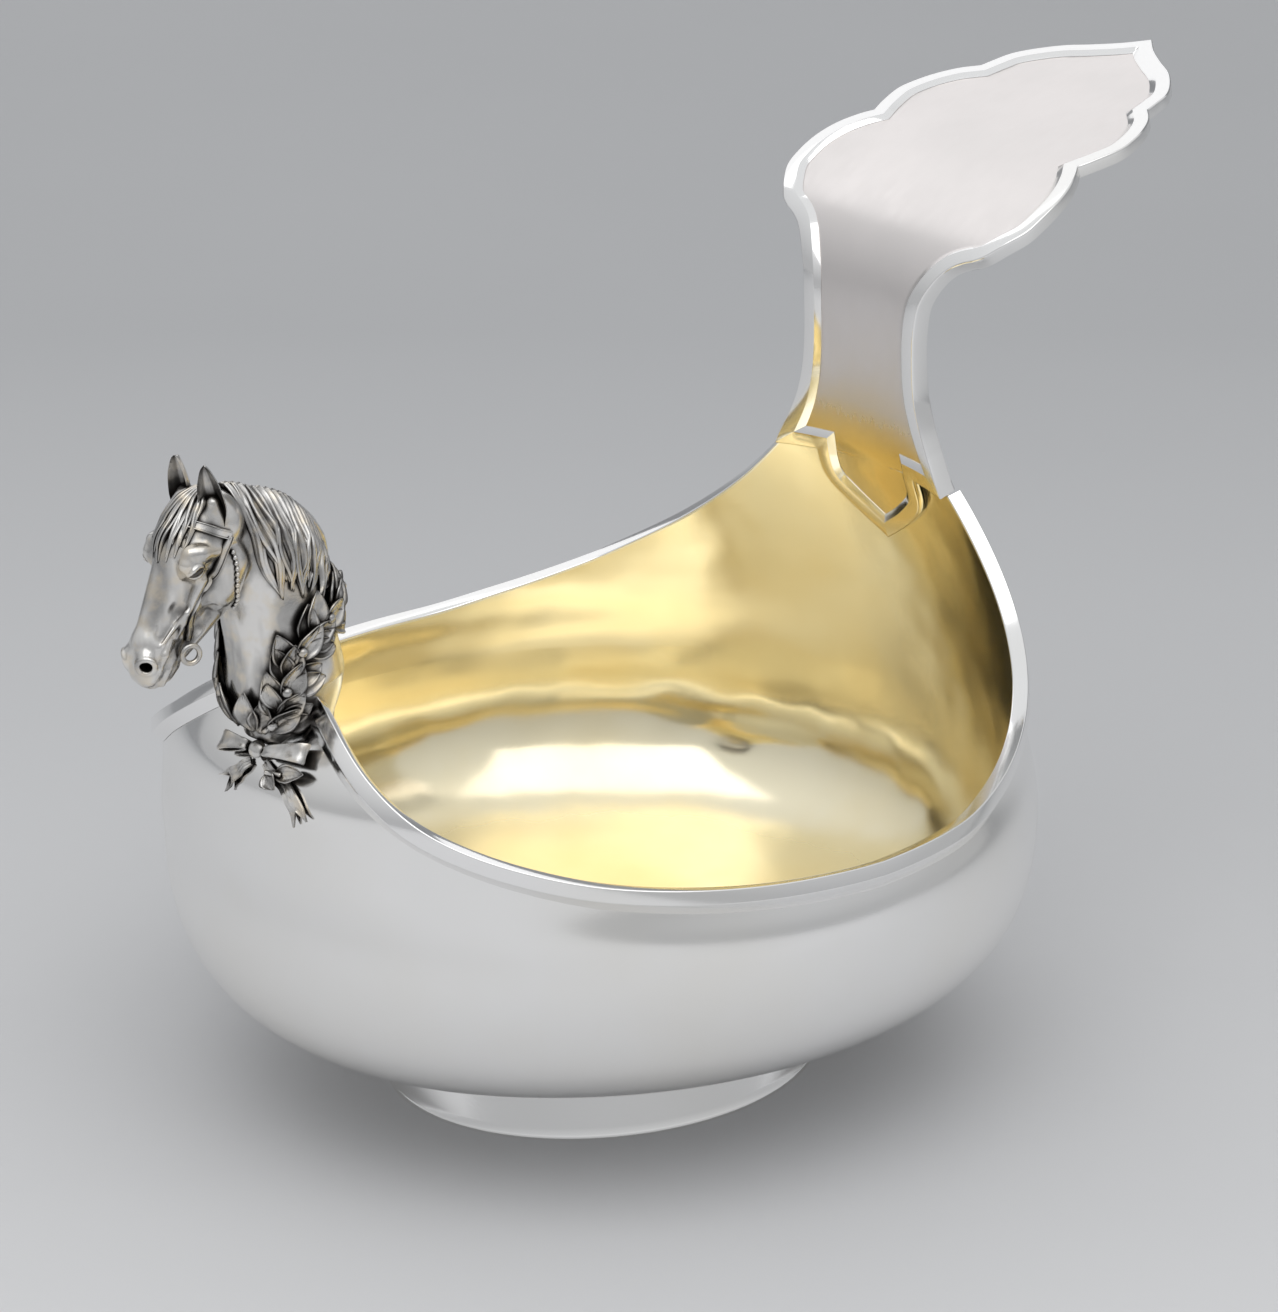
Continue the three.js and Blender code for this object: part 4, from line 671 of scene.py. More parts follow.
def offset_path(path, inward, corners, width):
    """The path moved inward by width; what would pass a corner's mitre line stops on it."""
    moved = path + inward * width
    for corner in corners:
        pivot, line = path[corner], inward[corner]
        normal = np.array([-line[1], line[0]])
        reach = int(12 / FINE)
        for part in (slice(max(corner - reach, 0), corner), slice(corner + 1, corner + reach)):
            here = np.sign((path[part] - pivot) @ normal)
            there = np.sign((moved[part] - pivot) @ normal)
            crossed = (here != 0) & (there != here) & (np.abs((moved[part] - pivot) @ normal) > 1e-9)
            near = np.linalg.norm(path[part] - pivot, axis=1) < 9
            moved[part] = np.where((crossed & near)[:, None], pivot + line * width, moved[part])
    return moved


def border_rings(path, inward, corners, side, turn, seat):
    section = rounded([(0, seat), (0, 0), (FRAME_FLAT, 0), (FRAME_FLAT + FRAME_BEVEL, seat)],
                      [0, 0.42, 0.22, 0.1], 5)
    rings = []
    for width, lift in section:
        moved = offset_path(path, inward * turn, corners, width)
        rings.append(handle_point(moved[:, 0], moved[:, 1] * side, lift))
    return np.stack(rings, 1)


def make_borders():
    seat = -PANEL_RECESS
    path, corners = half_outline()
    beyond = np.array([path[-2][0], -path[-2][1]])
    inward = mitres(path, np.array([0, DROP_WIDTH]), beyond)
    for side, name in ((1, "handle_border_left"), (-1, "handle_border_right")):
        rings = border_rings(path, inward, corners, side, 1, seat)
        node_name = name.replace("border", "frame")
        make_piece(name, *swept(rings, turn=side < 0), [RIM_SILVER], node_name, sharp=35, slot="silver")
    drop = half_drop()
    shoulder = straight(np.array([0, ROOT_WIDTH]), drop[0], ROOT_WIDTH - DROP_WIDTH)
    half = np.concatenate([shoulder, drop])
    whole = np.concatenate([half, half[:-1][::-1] * [1, -1]])
    count = len(shoulder)
    corners = [0, count, len(half) - 1, len(whole) - 1 - count, len(whole) - 1]
    above = path[1]
    inward = mitres(whole, above, above * [1, -1])
    rings = border_rings(whole, inward, corners, 1, -1, seat)
    sides = np.arange(rings.shape[1])
    bevel = np.where((sides >= 6) & (sides < 14), 1, 0)
    pick = np.concatenate([np.tile(bevel, len(rings) - 1), [0, 0]])
    make_piece("drop_border", *swept(rings, turn=True), [GILT_EDGE, RIM_SILVER], "drop_frame", pick, 35,
               "gilt_silver")


# The horse. Places are set out from the prow's tip as forward or back, up and side, and on the head as
# along from the poll, out and side. Each mass has two ends, their radii, a sideways squash and a blend's width.
PROW_X = -float(bowl_sizes(PROW_HEIGHT)[0])
TILT = math.radians(57.3)
POLL = (-18.8, 48.0)


def from_prow(forward, up, side=0.0):
    return np.array([PROW_X + forward, side, PROW_HEIGHT + up])


def on_head(along, depth, side=0.0):
    return from_prow(POLL[0] - along * math.cos(TILT) - depth * math.sin(TILT),
                     POLL[1] - along * math.sin(TILT) + depth * math.cos(TILT), side)


NECK_MASSES = [
    ((-12.5, 34), (-7.8, 28), 10.5, 11.8, 0.76, 2),
    ((-7.8, 28), (-5, 17.5), 11.8, 13, 0.78, 2),
    ((-5, 17.5), (-3.2, 1), 13, 13.4, 0.84, 2),
    ((-3.2, 1), (-2.5, -9), 13.4, 10.6, 0.9, 2),
]
HEAD_MASSES = [
    ((8.5, 0.3), (15.5, 1.8), 8, 7.9, 1.02, 2),
    ((17, 4.8), (39, 2.2), 5, 3.2, 0.8, 2),
    ((20, -1.2), (38, -0.8), 7.2, 4.6, 0.85, 2),
    ((15, -5, 5.2), (20, -6, 5), 5.4, 5.2, 0.7, 1.4),
    ((21, -10, 3.4), (36, -5.6, 1.6), 2.4, 2.2, 1, 1.6),
    ((8, 2.6, 5.2), (4.4, 5.6, 5), 2.5, 1.6, 1, 1.2),
    ((37.5, 0.6), (42, -0.6), 5, 4.4, 0.95, 1.6),
    ((16.4, 5.4, 5.4), (18.8, 5.9, 6.1), 2.5, 2.2, 1, 1.3),
    ((19, 3.8, 5), (19.1, 3.8, 5), 3.1, 3.1, 1, 1.1),
    ((20.5, 1.6, 7.2), (30, 0.2, 5.2), 1.3, 0.9, 1, 1),
    ((40.6, 2.9, 2.3), (41.65, 2.65, 2.65), 2.1, 2.2, 1, 1),
    ((43.2, -2.6), (43.4, -2.4), 3.2, 3.1, 1.1, 1),
    ((39.5, -5.2), (41.6, -5), 2.9, 2.7, 1, 1),
]
HORSE = [(put(*start), put(*end), *sizes)
         for put, masses in ((from_prow, NECK_MASSES), (on_head, HEAD_MASSES))
         for start, end, *sizes in masses]


def mass_distance(points, part):
    start, end, r0, r1, squash, _ = part
    flat = np.array([1, 1 / squash, 1])
    axis = ((end - start) * flat).astype(points.dtype)
    offset = (points - start.astype(points.dtype)) * flat.astype(points.dtype)
    along = np.clip(offset @ axis / max(float(axis @ axis), 1e-9), 0, 1)
    return np.linalg.norm(offset - along[..., None] * axis, axis=-1) - r0 - (r1 - r0) * along


def joined(first, second, blend):
    near = np.maximum(blend - np.abs(first - second), 0) / blend
    return np.minimum(first, second) - near * near * blend / 4


def masses_field(points, masses):
    total = np.full(points.shape[:-1], 1000.0, points.dtype)
    for part in masses:
        total = joined(total, mass_distance(points, part), part[5])
    return total


def one_side(points):
    points = points.copy()
    points[..., 1] = np.abs(points[..., 1])
    return points


def horse_body(points):
    """The head and neck without their small features."""
    return masses_field(one_side(points), HORSE)


def slope(field, points, step=0.08):
    out = np.zeros_like(points)
    for k in range(3):
        move = np.zeros(3, points.dtype)
        move[k] = step
        out[..., k] = (field(points + move) - field(points - move)) / (2 * step)
    return out


def settle(field, points, lift=0.0, turns=5):
    points = np.array(points, float)
    for _ in range(turns):
        way = slope(field, points)
        size = np.maximum(np.sum(way * way, -1), 0.2)
        points = points + way * ((lift - field(points)) / size)[..., None]
    return points


def field_mesh(field, low, high, cell):
    """The field's surface as quads, its points moved onto the surface itself."""
    axes = [np.arange(low[k], high[k], cell, dtype=np.float32) for k in range(3)]
    values = np.empty([len(a) for a in axes], np.float32)
    for i, x in enumerate(axes[0]):
        y, z = np.meshgrid(axes[1], axes[2], indexing="ij")
        values[i] = field(np.stack([np.full_like(y, x), y, z], -1))
    grid = openvdb.FloatGrid(1000.0)
    grid.copyFromArray(values)
    points, quads = grid.convertToQuads(isovalue=0.0)
    points = settle(field, np.array(low) + points.astype(float) * cell, 0.0, 2)
    return points, quads[:, ::-1]


CAST_CELL = 0.4
HORSE_LOW = from_prow(-52, -14, -15)
HORSE_HIGH = from_prow(14, 56, 15)


def on_skin(stops, lift=0.0):
    return settle(horse_body, [on_head(*stop) for stop in stops], lift)


def out_of_skin(points):
    return unit(slope(horse_body, points))


def chain(stops, radii, blend):
    return [(stops[i], stops[i + 1], radii[i], radii[i + 1], 1, blend) for i in range(len(stops) - 1)]


# The eye and the nostril: a middle, a way out and two ways across, as along, out, side.
EYE, EYE_RADIUS = np.array([19.05, 3.8, 5.0]), 3.1
EYE_OUT, EYE_BACK = unit(np.array([0.16, 0.25, 0.95])), np.array([-0.765, -0.576, 0.28])
EYE_BACK = unit(EYE_BACK - EYE_OUT * (EYE_BACK @ EYE_OUT))
EYE_UP = np.cross(EYE_OUT, EYE_BACK)
EYE_UP *= -np.sign(EYE_UP[0])
NOSTRIL, NOSTRIL_OUT = np.array([42.3, 2.8, 3.45]), unit(np.array([0.6, 0.42, 0.68]))
NOSTRIL_ACROSS = unit(np.cross(NOSTRIL_OUT, [0, 1, 0]))
NOSTRIL_UP = np.cross(NOSTRIL_OUT, NOSTRIL_ACROSS)


def lid(height, reach, steps=9):
    """Stops along one lid, on the skin round the eye."""
    way = np.linspace(-1, 1, steps)
    ways = EYE_OUT + np.outer(way * 0.78, EYE_BACK) + np.outer(height * (1 - way ** 2), EYE_UP)
    return settle(horse_body, [on_head(*(EYE + EYE_RADIUS * w)) for w in unit(ways)], reach)


def nostril_stop(turn, radius):
    way = math.cos(turn) * NOSTRIL_ACROSS + math.sin(turn) * NOSTRIL_UP
    return on_head(*(NOSTRIL + radius * way))


def lines_on_skin(rows):
    """Masses along lines on the skin, from the stops, the lift, the radii and the blend of each."""
    return [part for stops, lift, radii, blend in rows
            for part in chain(on_skin(stops, lift), radii, blend)]


# Small features of the head: lids and the nostril's rim, then lips, veins and the arch of the brow.
RAISED = (
    chain(lid(0.44, 0.12), [0.25, 0.42, 0.5, 0.52, 0.52, 0.5, 0.46, 0.38, 0.25], 0.15)
    + chain(lid(-0.4, 0.05), [0.25, 0.34, 0.38, 0.4, 0.4, 0.4, 0.36, 0.32, 0.25], 0.15)
    + chain([nostril_stop(t, 1.95) for t in np.linspace(0, 2 * math.pi, 25)], [0.5] * 25, 0.35)
    + lines_on_skin([
        ([(33.6, -2.8, 6), (37.5, -3.4, 5), (41, -3.7, 4), (44, -3.6, 2.4)], -0.1,
         [0.4, 0.8, 0.9, 0.7], 0.7),
        ([(35, 0.3, 6), (38.5, 0.2, 5.4), (42, -0.2, 4.4), (44.4, -0.6, 2)], -0.2,
         [0.4, 0.8, 0.9, 0.7], 0.8),
        ([(24.5, -1.5, 8), (28.5, 1.2, 7), (32.5, 1.4, 6), (36.5, 2.2, 5.4)], -0.05,
         [0.3, 0.55, 0.5, 0.3], 0.4),
        ([(28.5, 1.2, 7), (31.5, -0.8, 6.6), (34, -1.4, 6)], -0.05, [0.4, 0.45, 0.3], 0.4),
        ([(13.5, 1.4, 8), (15, 4.6, 8), (16.4, 7.2, 6.6)], -0.3, [0.6, 0.9, 0.8], 2.2)])
)
# The hole of the nostril and the eye's hollow, then the mouth and the hollows of the face.
HOLLOWS = (
    [(on_head(*(NOSTRIL + 2 * NOSTRIL_OUT)), on_head(*(NOSTRIL - 2.4 * NOSTRIL_OUT)), 1.7, 1.2, 1, 0.2)]
    + chain(lid(0.02, 0.35), [0.45, 0.65, 0.85, 0.95, 1, 0.95, 0.85, 0.65, 0.45], 0.15)
    + lines_on_skin([
        ([(34.6, -1.4, 6.4), (38, -1.7, 5.4), (41.5, -1.9, 4.4), (44.5, -2, 2.6), (46, -2.1, 0.2)], 0.1,
         [0.3, 0.42, 0.42, 0.42, 0.4], 0.3),
        ([(23.5, 4.4, 6.8), (29, 3.6, 6.4), (35, 2.9, 5.2)], 1.3, [1.9, 2.2, 1.9], 0.8),
        ([(26, -5.4, 7.4), (30, -4.8, 6.6), (34, -4.6, 5.6)], 1.2, [1.7, 2.1, 1.6], 0.8)])
)


def horse_field(points):
    points = one_side(points)
    body = masses_field(points, HORSE)
    near = np.abs(body) < 2.5
    spots, fine = points[near], body[near]
    for part in HOLLOWS:
        fine = -joined(-fine, mass_distance(spots, part), part[5])
    for part in RAISED:
        fine = joined(fine, mass_distance(spots, part), part[5])
    body[near] = fine
    return np.maximum(body, PROW_HEIGHT - 12 - points[..., 2])


def make_horse():
    points, quads = field_mesh(horse_field, HORSE_LOW, HORSE_HIGH, CAST_CELL)
    parts = [(points, quads)]
    axes = np.array([on_head(*way) - on_head(0, 0) for way in (EYE_BACK, EYE_UP, EYE_OUT)])
    middle = settle(horse_body, [on_head(*(EYE + EYE_RADIUS * EYE_OUT))], -0.4)[0]
    for side in (1, -1):
        mirror = [1, side, 1]
        # The eyeballs, coloured near-black as painted shade.
        parts.append(ball(middle * mirror, np.array([2.0, 1.15, 0.85]), axes * mirror, 14, 20))
    points, faces = together(parts)
    painted_shade_eyes = (np.arange(len(faces)) >= len(quads)).astype(int)
    make_piece("horse_casting", points, faces, [CAST, EYE_PAINTED_SHADE], "horse", painted_shade_eyes, 0, "cast_silver")


# Sheets, tubes and groups of small meshes.
def sheet_grid(rows, columns):
    """A thin closed sheet: along it 0 to 1, across it -1 to 1, its lower or upper side, and its faces."""
    u, v = np.meshgrid(np.linspace(0, 1, rows + 1), np.linspace(0, 1, columns + 1), indexing="ij")
    count = u.size
    top = grid_faces(rows + 1, columns + 1)
    index = np.arange(count).reshape(rows + 1, columns + 1)
    edge = np.concatenate([index[0, :-1], index[:-1, -1], index[-1, :0:-1], index[:0:-1, 0]])
    onward = np.roll(edge, -1)
    side = np.stack([edge, onward, onward + count, edge + count], 1)
    layer = np.repeat([0.0, 1.0], count)
    faces = np.concatenate([top + count, top[:, ::-1], side])
    return np.tile(u.ravel(), 2), 2 * np.tile(v.ravel(), 2) - 1, layer, faces


def outward(points, faces):
    """The quads of a closed mesh turned to face out."""
    a, b, c, d = (points[faces[:, k]] - points.mean(0) for k in range(4))
    volume = np.sum(a * np.cross(b, c)) + np.sum(a * np.cross(c, d))
    return faces if volume > 0 else faces[:, ::-1]


def together(parts):
    points, faces, start = [], [], 0
    for spots, quads in parts:
        points.append(spots)
        faces += [tuple(int(k) + start for k in quad) for quad in quads]
        start += len(spots)
    return np.concatenate(points), faces


def tube(path, radii, out, sides=10, flat=1.0, ridges=0, depth=0.0, twist=0.0):
    """A tube along a path, flattened towards out, with ridges like strands."""
    path = np.asarray(path, float)
    radii = np.broadcast_to(radii, len(path))
    along = unit(np.gradient(path, axis=0))
    out = square_to(out, along)
    across = np.cross(along, out)
    angle = 2 * np.pi * np.arange(sides) / sides
    way = np.linspace(0, 1, len(path))[:, None]
    ring = radii[:, None] * (1 + depth * np.cos(ridges * angle + twist * way))
    rings = (path[:, None] + across[:, None] * (ring * np.cos(angle))[..., None]
             + out[:, None] * (flat * ring * np.sin(angle))[..., None])
    return swept(rings, turn=True)


def ball(centre, radii, axes=None, rows=8, columns=12, dents=0.0):
    """A rounded bead with its own three radii and axes."""
    axes = np.eye(3) if axes is None else axes
    down = np.linspace(0.04, np.pi - 0.04, rows)[:, None]
    around = circle(columns)[None]
    reach = 1 + dents * np.cos(3 * around) * np.sin(down)
    spots = np.stack([np.sin(down) * np.cos(around) * reach, np.sin(down) * np.sin(around) * reach,
                      np.cos(down) + 0 * around], -1) * radii
    return swept(np.asarray(centre) + spots @ axes)


def make_group(name, parts, node):
    make_cast(name, *together(parts), node)


def along_path(path, share):
    return path[np.round(np.clip(share, 0, 1) * (len(path) - 1)).astype(int)]


# Hair: locks of ridged strands that lie on the skin.
CREST = [(-18.6, 46.8), (-15.2, 46), (-11.5, 44.2), (-8, 43), (-3, 40), (2, 35), (5.8, 30), (8, 25.5)]
CREST_RADII = [1.9, 1.8, 2, 2.4, 3, 3.2, 2.8, 1.6]
MANE_LOCKS = 19
MANE_ARCH = 0.32
FORELOCK_HALF = 10


def make_mane():
    crest = spline(CREST, 0.4)
    rise = np.interp(np.linspace(0, 1, len(crest)), np.linspace(0, 1, len(CREST_RADII)), CREST_RADII)
    ridge = np.array([from_prow(forward, up) for forward, up in crest])
    parts = [tube(ridge[::4], rise[::4] * 0.96, np.array([0, 1.0, 0]), 18)]
    for side, first, last in ((-1, (-12, 26), (1, 23.5)), (1, (-15, 33), (5, 21))):
        for index in range(MANE_LOCKS):
            share = index / (MANE_LOCKS - 1)
            top = along_path(crest, share)
            end = np.array(first) * (1 - share) + np.array(last) * share
            end = end + [0, 2.2 * math.sin(2.7 * index + side) - 0.6]
            way = unit(end - top)
            square = np.array([-way[1], way[0]])
            down = np.linspace(0, 1, 26)
            wave = 0.8 * np.sin(2 * np.pi * (1.1 * down + 0.31 * index)) * np.minimum(1, 3 * down)
            spots = top + np.outer(down, end - top) + np.outer(wave, square)
            out = (0.5 + 10 * np.sqrt(down)) * side
            path = np.array([from_prow(x, z, y) for (x, z), y in zip(spots, out)])
            skin = settle(horse_body, path, 0.35 + 0.4 * (index * 7 % 3) / 2, 3)
            over = np.clip(1 - down / MANE_ARCH, 0, 1)[:, None]
            crown = ridge[int(round(share * (len(ridge) - 1)))]
            reach = rise[int(round(share * (len(rise) - 1)))]
            turn = np.pi / 2 * down[:, None] / MANE_ARCH
            sine, cosine = np.sin(turn), np.cos(turn)
            arch = crown + reach * 0.98 * np.concatenate(
                [way[0] * 0.35 * sine, side * sine, cosine + way[1] * 0.3 * sine], 1)
            path = skin * (1 - over ** 0.5) + arch * over ** 0.5
            width = np.interp(down, [0, 0.15, 0.5, 0.8, 1], [0.8, 1.15, 1.2, 0.85, 0.15])
            twist = 2.5 * math.sin(3.1 * index) + 2
            parts.append(tube(path, width, out_of_skin(path), 20, 0.8, 4, 0.2, twist))
    make_group("mane_locks", parts, "mane")


def make_forelock():
    parts = []
    for index in range(2 * FORELOCK_HALF + 1):
        side = (index - FORELOCK_HALF) / FORELOCK_HALF
        length = 19.4 - 4.4 * abs(side) + 2.4 * math.sin(2.3 * index + 0.6)
        sway = [0.5 * math.sin(1.9 * index + k) for k in range(4)]
        stops = [(1.8, 6.2, side * 1.6), (5, 9.2, side * 4 + 0.3 * sway[0]), (9, 9.9, side * 6.2 + sway[1]),
                 (length - 4.6, 9, side * 6 + sway[2]), (length, 8.2, side * 5.2 + sway[3] - 0.4)]
        path = spline([on_head(*stop) for stop in stops], 0.6)
        down = np.linspace(0, 1, len(path))
        swell = 0.7 * np.sin(np.pi * np.minimum(1, down * 1.1)) * (1 - 0.4 * abs(side))
        lift = 0.1 + swell + 0.3 * (index * 5 % 3) / 2
        width = np.interp(down, [0, 0.3, 0.7, 1], [0.7, 0.8, 0.62, 0.1])
        path = settle(horse_body, path, lift, 3)
        parts.append(tube(path, width, out_of_skin(path), 16, 0.85, 3, 0.22, 3 * math.sin(1.7 * index)))
    make_group("forelock_strands", parts, "forelock")


EAR_HALF_WIDTH = 2.9
EAR_WALL = 0.8
ear_outline = smooth_through([(0, 0.62), (0.3, 1), (0.62, 0.86), (0.86, 0.5), (0.96, 0.26), (1, 0.06)])


def make_ear(side, name):
    base, tip = on_head(8, 2, 5.4 * side), on_head(-2.4, 11.7, 4.4 * side)
    axis = tip - base
    opening = unit(np.array([-1, -0.2, 0.1]) if side > 0 else np.array([-0.75, -0.65, 0]))
    across = unit(np.cross(axis, opening))
    u, edge, k, faces = sheet_grid(28, 18)
    cup = edge ** 2 * 2.3 * np.sin(np.pi * (0.22 + 0.68 * u))
    cup += 0.6 * u ** 3 - 1.1 * np.sin(np.pi * u ** 0.8)
    rim = 0.3 * np.abs(edge) ** 8 * (1 - u ** 4)
    strand = 0.14 * np.cos(edge * 10 + 2 * u) * np.sin(np.pi * u) * (1 - edge ** 2) * k
    thick = EAR_WALL * (k - 0.5)
    points = (base + np.outer(u, axis) + np.outer(edge * EAR_HALF_WIDTH * ear_outline(u), across)
              + np.outer(cup + rim + thick + strand, opening))
    make_cast(name + "_cup", points, outward(points, faces), name, 50)


# The bridle.
def make_strap(name, stops, width, thickness, node):
    path = settle(horse_body, spline([on_head(*stop) for stop in stops], 0.5), SEAT * 0.5, 4)
    along, out = unit(np.gradient(path, axis=0)), out_of_skin(path)
    across = np.cross(along, out)
    half = [(-1, 0), (-1, 0.7), (-0.86, 1), (-0.72, 1), (-0.62, 0.72)]
    section = half + [(-w, h) for w, h in half[::-1]]
    rings = np.stack([path + across * (w * width / 2) + out * (h * thickness) for w, h in section], 1)
    make_cast(name, *swept(rings, turn=True), node, 40)


HANDS = ((1, "left"), (-1, "right"))
CHEEK_STRAP = [(9.4, 0.4, 8.4), (10.8, 0.2, 8.6), (18, -0.4, 9), (26, -2, 7.6), (33.6, -4.2, 6.4)]
THROAT_LATCH = [(11.8, -2, 8.6), (14.5, -4.2, 9.4), (19, -7.6, 9.2), (22.6, -10.6, 6)]
BROWBAND = [(9.2, 0.4, -8.6), (9.8, 4.6, -7.4), (10.6, 8.4, -3.6), (10.8, 9.2, 0)]
BROWBAND += [(a, d, -s) for a, d, s in BROWBAND[-2::-1]]
BEAD_RADIUS = 0.62
BEAD_SPACING = 1.3
BIT_RADIUS = 2
BIT_WIRE = 0.62


def make_bridle():
    make_strap("browband_strap", BROWBAND, 2, 0.8, "browband")
    for side, hand in HANDS:
        cheek = [(a, d, s * side) for a, d, s in CHEEK_STRAP]
        make_strap("cheek_piece_" + hand, cheek, 1.7, 0.8, "cheek_strap_" + hand)
        latch = spline([on_head(a, d, s * side) for a, d, s in THROAT_LATCH], 0.3)
        path = settle(horse_body, latch, 0.35, 4)
        lengths = lengths_along(path)
        places = looked_up(np.arange(0.5, lengths[-1], BEAD_SPACING), lengths, path)
        parts = [tube(path, 0.3, out_of_skin(path), 8)] + [ball(place, BEAD_RADIUS) for place in places]
        make_group("throat_beads_" + hand, parts, "throat_latch_" + hand)
        centre = on_head(36, -4.8, 6.6 * side)
        angle = circle(40)
        lean = 0.25 * side
        out = np.array([-math.sin(lean), math.cos(lean), 0])
        flat = np.array([math.cos(lean), math.sin(lean), 0])
        away = np.outer(np.cos(angle), flat) + np.outer(np.sin(angle), [0, 0, 1])
        middle = centre + BIT_RADIUS * away
        away = unit(middle - centre)[:, None]
        ring = circle(12)[:, None]
        rings = middle[:, None] + BIT_WIRE * (away * np.cos(ring) + out * np.sin(ring))
        make_cast("bit_ring_wire_" + hand, *swept(rings, True), "bit_ring_" + hand)


# Leaves: raised along the midrib and at the turned-up edge, hollow between them.
leaf_outline = smooth_through([(0, 0.12), (0.25, 0.8), (0.45, 1), (0.75, 0.66), (1, 0.05)])


def leaves(roots, axes, ups, lengths, widths, lifts, curls, seat):
    """One mesh for each leaf. The function seat lays all of them on their surface together."""
    u, edge, k, faces = sheet_grid(16, 12)
    shape = leaf_outline(u)
    rim = 0.8 * np.abs(edge) ** 5 * shape
    rib = 0.4 * np.exp(-(edge * np.maximum(shape, 0.1) / 0.13) ** 2) * (1 - 0.8 * u)
    vein = 0.11 * np.cos(2 * np.pi * (7 * u - 1.6 * np.abs(edge))) * (1 - edge ** 2)
    relief = k * (0.4 + rim + rib + vein) + 0.5 * rim
    spots, heights = [], []
    for root, axis, up, length, width, lift, curl in zip(roots, axes, ups, lengths, widths, lifts, curls):
        across = unit(np.cross(axis, up))
        spots.append(root + np.outer(u * length, axis) + np.outer(edge * width / 2 * shape, across))
        heights.append(SEAT + lift + 0.5 * np.abs(edge) * shape + curl * u * u + relief)
    points = seat(np.concatenate(spots), np.concatenate(heights)).reshape(len(roots), -1, 3)
    return [(p, outward(p, faces)) for p in points]


def turned(vector, axis, angle):
    return (vector * math.cos(angle) + np.cross(axis, vector) * math.sin(angle)
            + axis * (axis @ vector) * (1 - math.cos(angle)))


GARLAND = [(-14.4, -10, 4), (-13.9, -5.8, 9.6), (-12, 1.9, 11.6), (-8.6, 9.5, 11.4), (-3, 15, 10),
           (4, 18.5, 6.5), (9.6, 20.5, 1.8)]
GARLAND_ROWS = 5
BERRY_RADIUS = 1.3
STEM_RADIUS = 0.8


def make_garland(side, hand):
    path = spline([from_prow(f, up, out * side) for f, up, out in GARLAND], 0.2)
    # Each leaf: its place along the garland in rows, its turn, lift, curl, length and width.
    rows = [(row + 0.36 + 0.3 * turn, turn * 0.85 + 0.2, 0.25 if turn else 0.85,
             0.7 if turn else 0.9, 10, 5.4)
            for row in range(GARLAND_ROWS) for turn in (-1, 0, 1)]
    rows += [(row + 0.8, turn * 0.75 + 0.1, 0.05, 0.9, 9.2, 5.2)
             for row in range(GARLAND_ROWS - 1) for turn in (-1, 1)]
    rows += [(row + 0.86, 0.3 * (-1) ** row + 0.1, 0.55, 1.2, 8.8, 5)
             for row in range(GARLAND_ROWS - 1)]
    rows.append((0, 0.06, 0.3, 0.9, 11.4, 5.2))
    share = np.array([r[0] for r in rows]) / GARLAND_ROWS
    spots = along_path(path, share)
    spots[-1] = from_prow(-15.4, -9.6, 2.8 * side)
    roots = settle(horse_body, spots, SEAT)
    ups = out_of_skin(roots)
    onward = unit(np.stack([along_path(path, share + 0.01)[:, k] - along_path(path, share - 0.01)[:, k]
                            for k in range(3)], 1))
    onward[-1] = [0, 0, 1]
    onward = square_to(onward, ups)
    axes = [turned(o, n, r[1] * side) for o, n, r in zip(onward, ups, rows)]
    _, _, lifts, curls, lengths, widths = zip(*rows)
    parts = leaves(roots, axes, ups, lengths, widths, lifts, curls,
                   lambda points, lift: settle(horse_body, points, lift, 4))
    berry_share = (np.arange(GARLAND_ROWS) + 0.6) / GARLAND_ROWS
    berries = settle(horse_body, along_path(path, berry_share), SEAT + 1.6)
    parts += [ball(spot, BERRY_RADIUS) for spot in berries]
    stem = settle(horse_body, along_path(path, np.linspace(0.04, 0.96, 40)), SEAT + STEM_RADIUS * 1.1)
    parts.append(tube(stem, STEM_RADIUS, out_of_skin(stem), 10))
    points, faces = together(parts)
    points[:, 1] = np.maximum(points[:, 1] * side, 0.1) * side
    make_cast("laurel_" + hand, points, faces, "garland_" + hand)


# The ribbon on the bowl, set out from the knot: to the side, up and off the bowl.
KNOT_DROP = 14.6
KNOT_RADII = (1.9, 1.6, 2.1)
RIBBON_HALF = 1.9


def under_prow(side, up, lift):
    side, up, lift = np.broadcast_arrays(side, up, lift)
    spots = np.stack([np.full(side.shape, PROW_X - 12.0), side - 2.4, PROW_HEIGHT + up - KNOT_DROP], -1)
    return on_bowl(spots.reshape(-1, 3), CLEARANCE + lift.ravel()).reshape(*side.shape, 3)


def out_of_prow(drop):
    return bowl_normal(np.array([np.pi]), np.array([PROW_HEIGHT - drop]))[0]


def make_knot():
    middle = under_prow(0.0, 0.0, KNOT_RADII[1])
    out = out_of_prow(KNOT_DROP)
    level = np.cross([0, 0, 1.0], out)
    axes = np.stack([unit(level), out, unit(np.cross(out, level))])
    make_cast("bow_knot", *ball(middle, np.array(KNOT_RADII), axes, 20, 30, 0.12), "ribbon_knot")


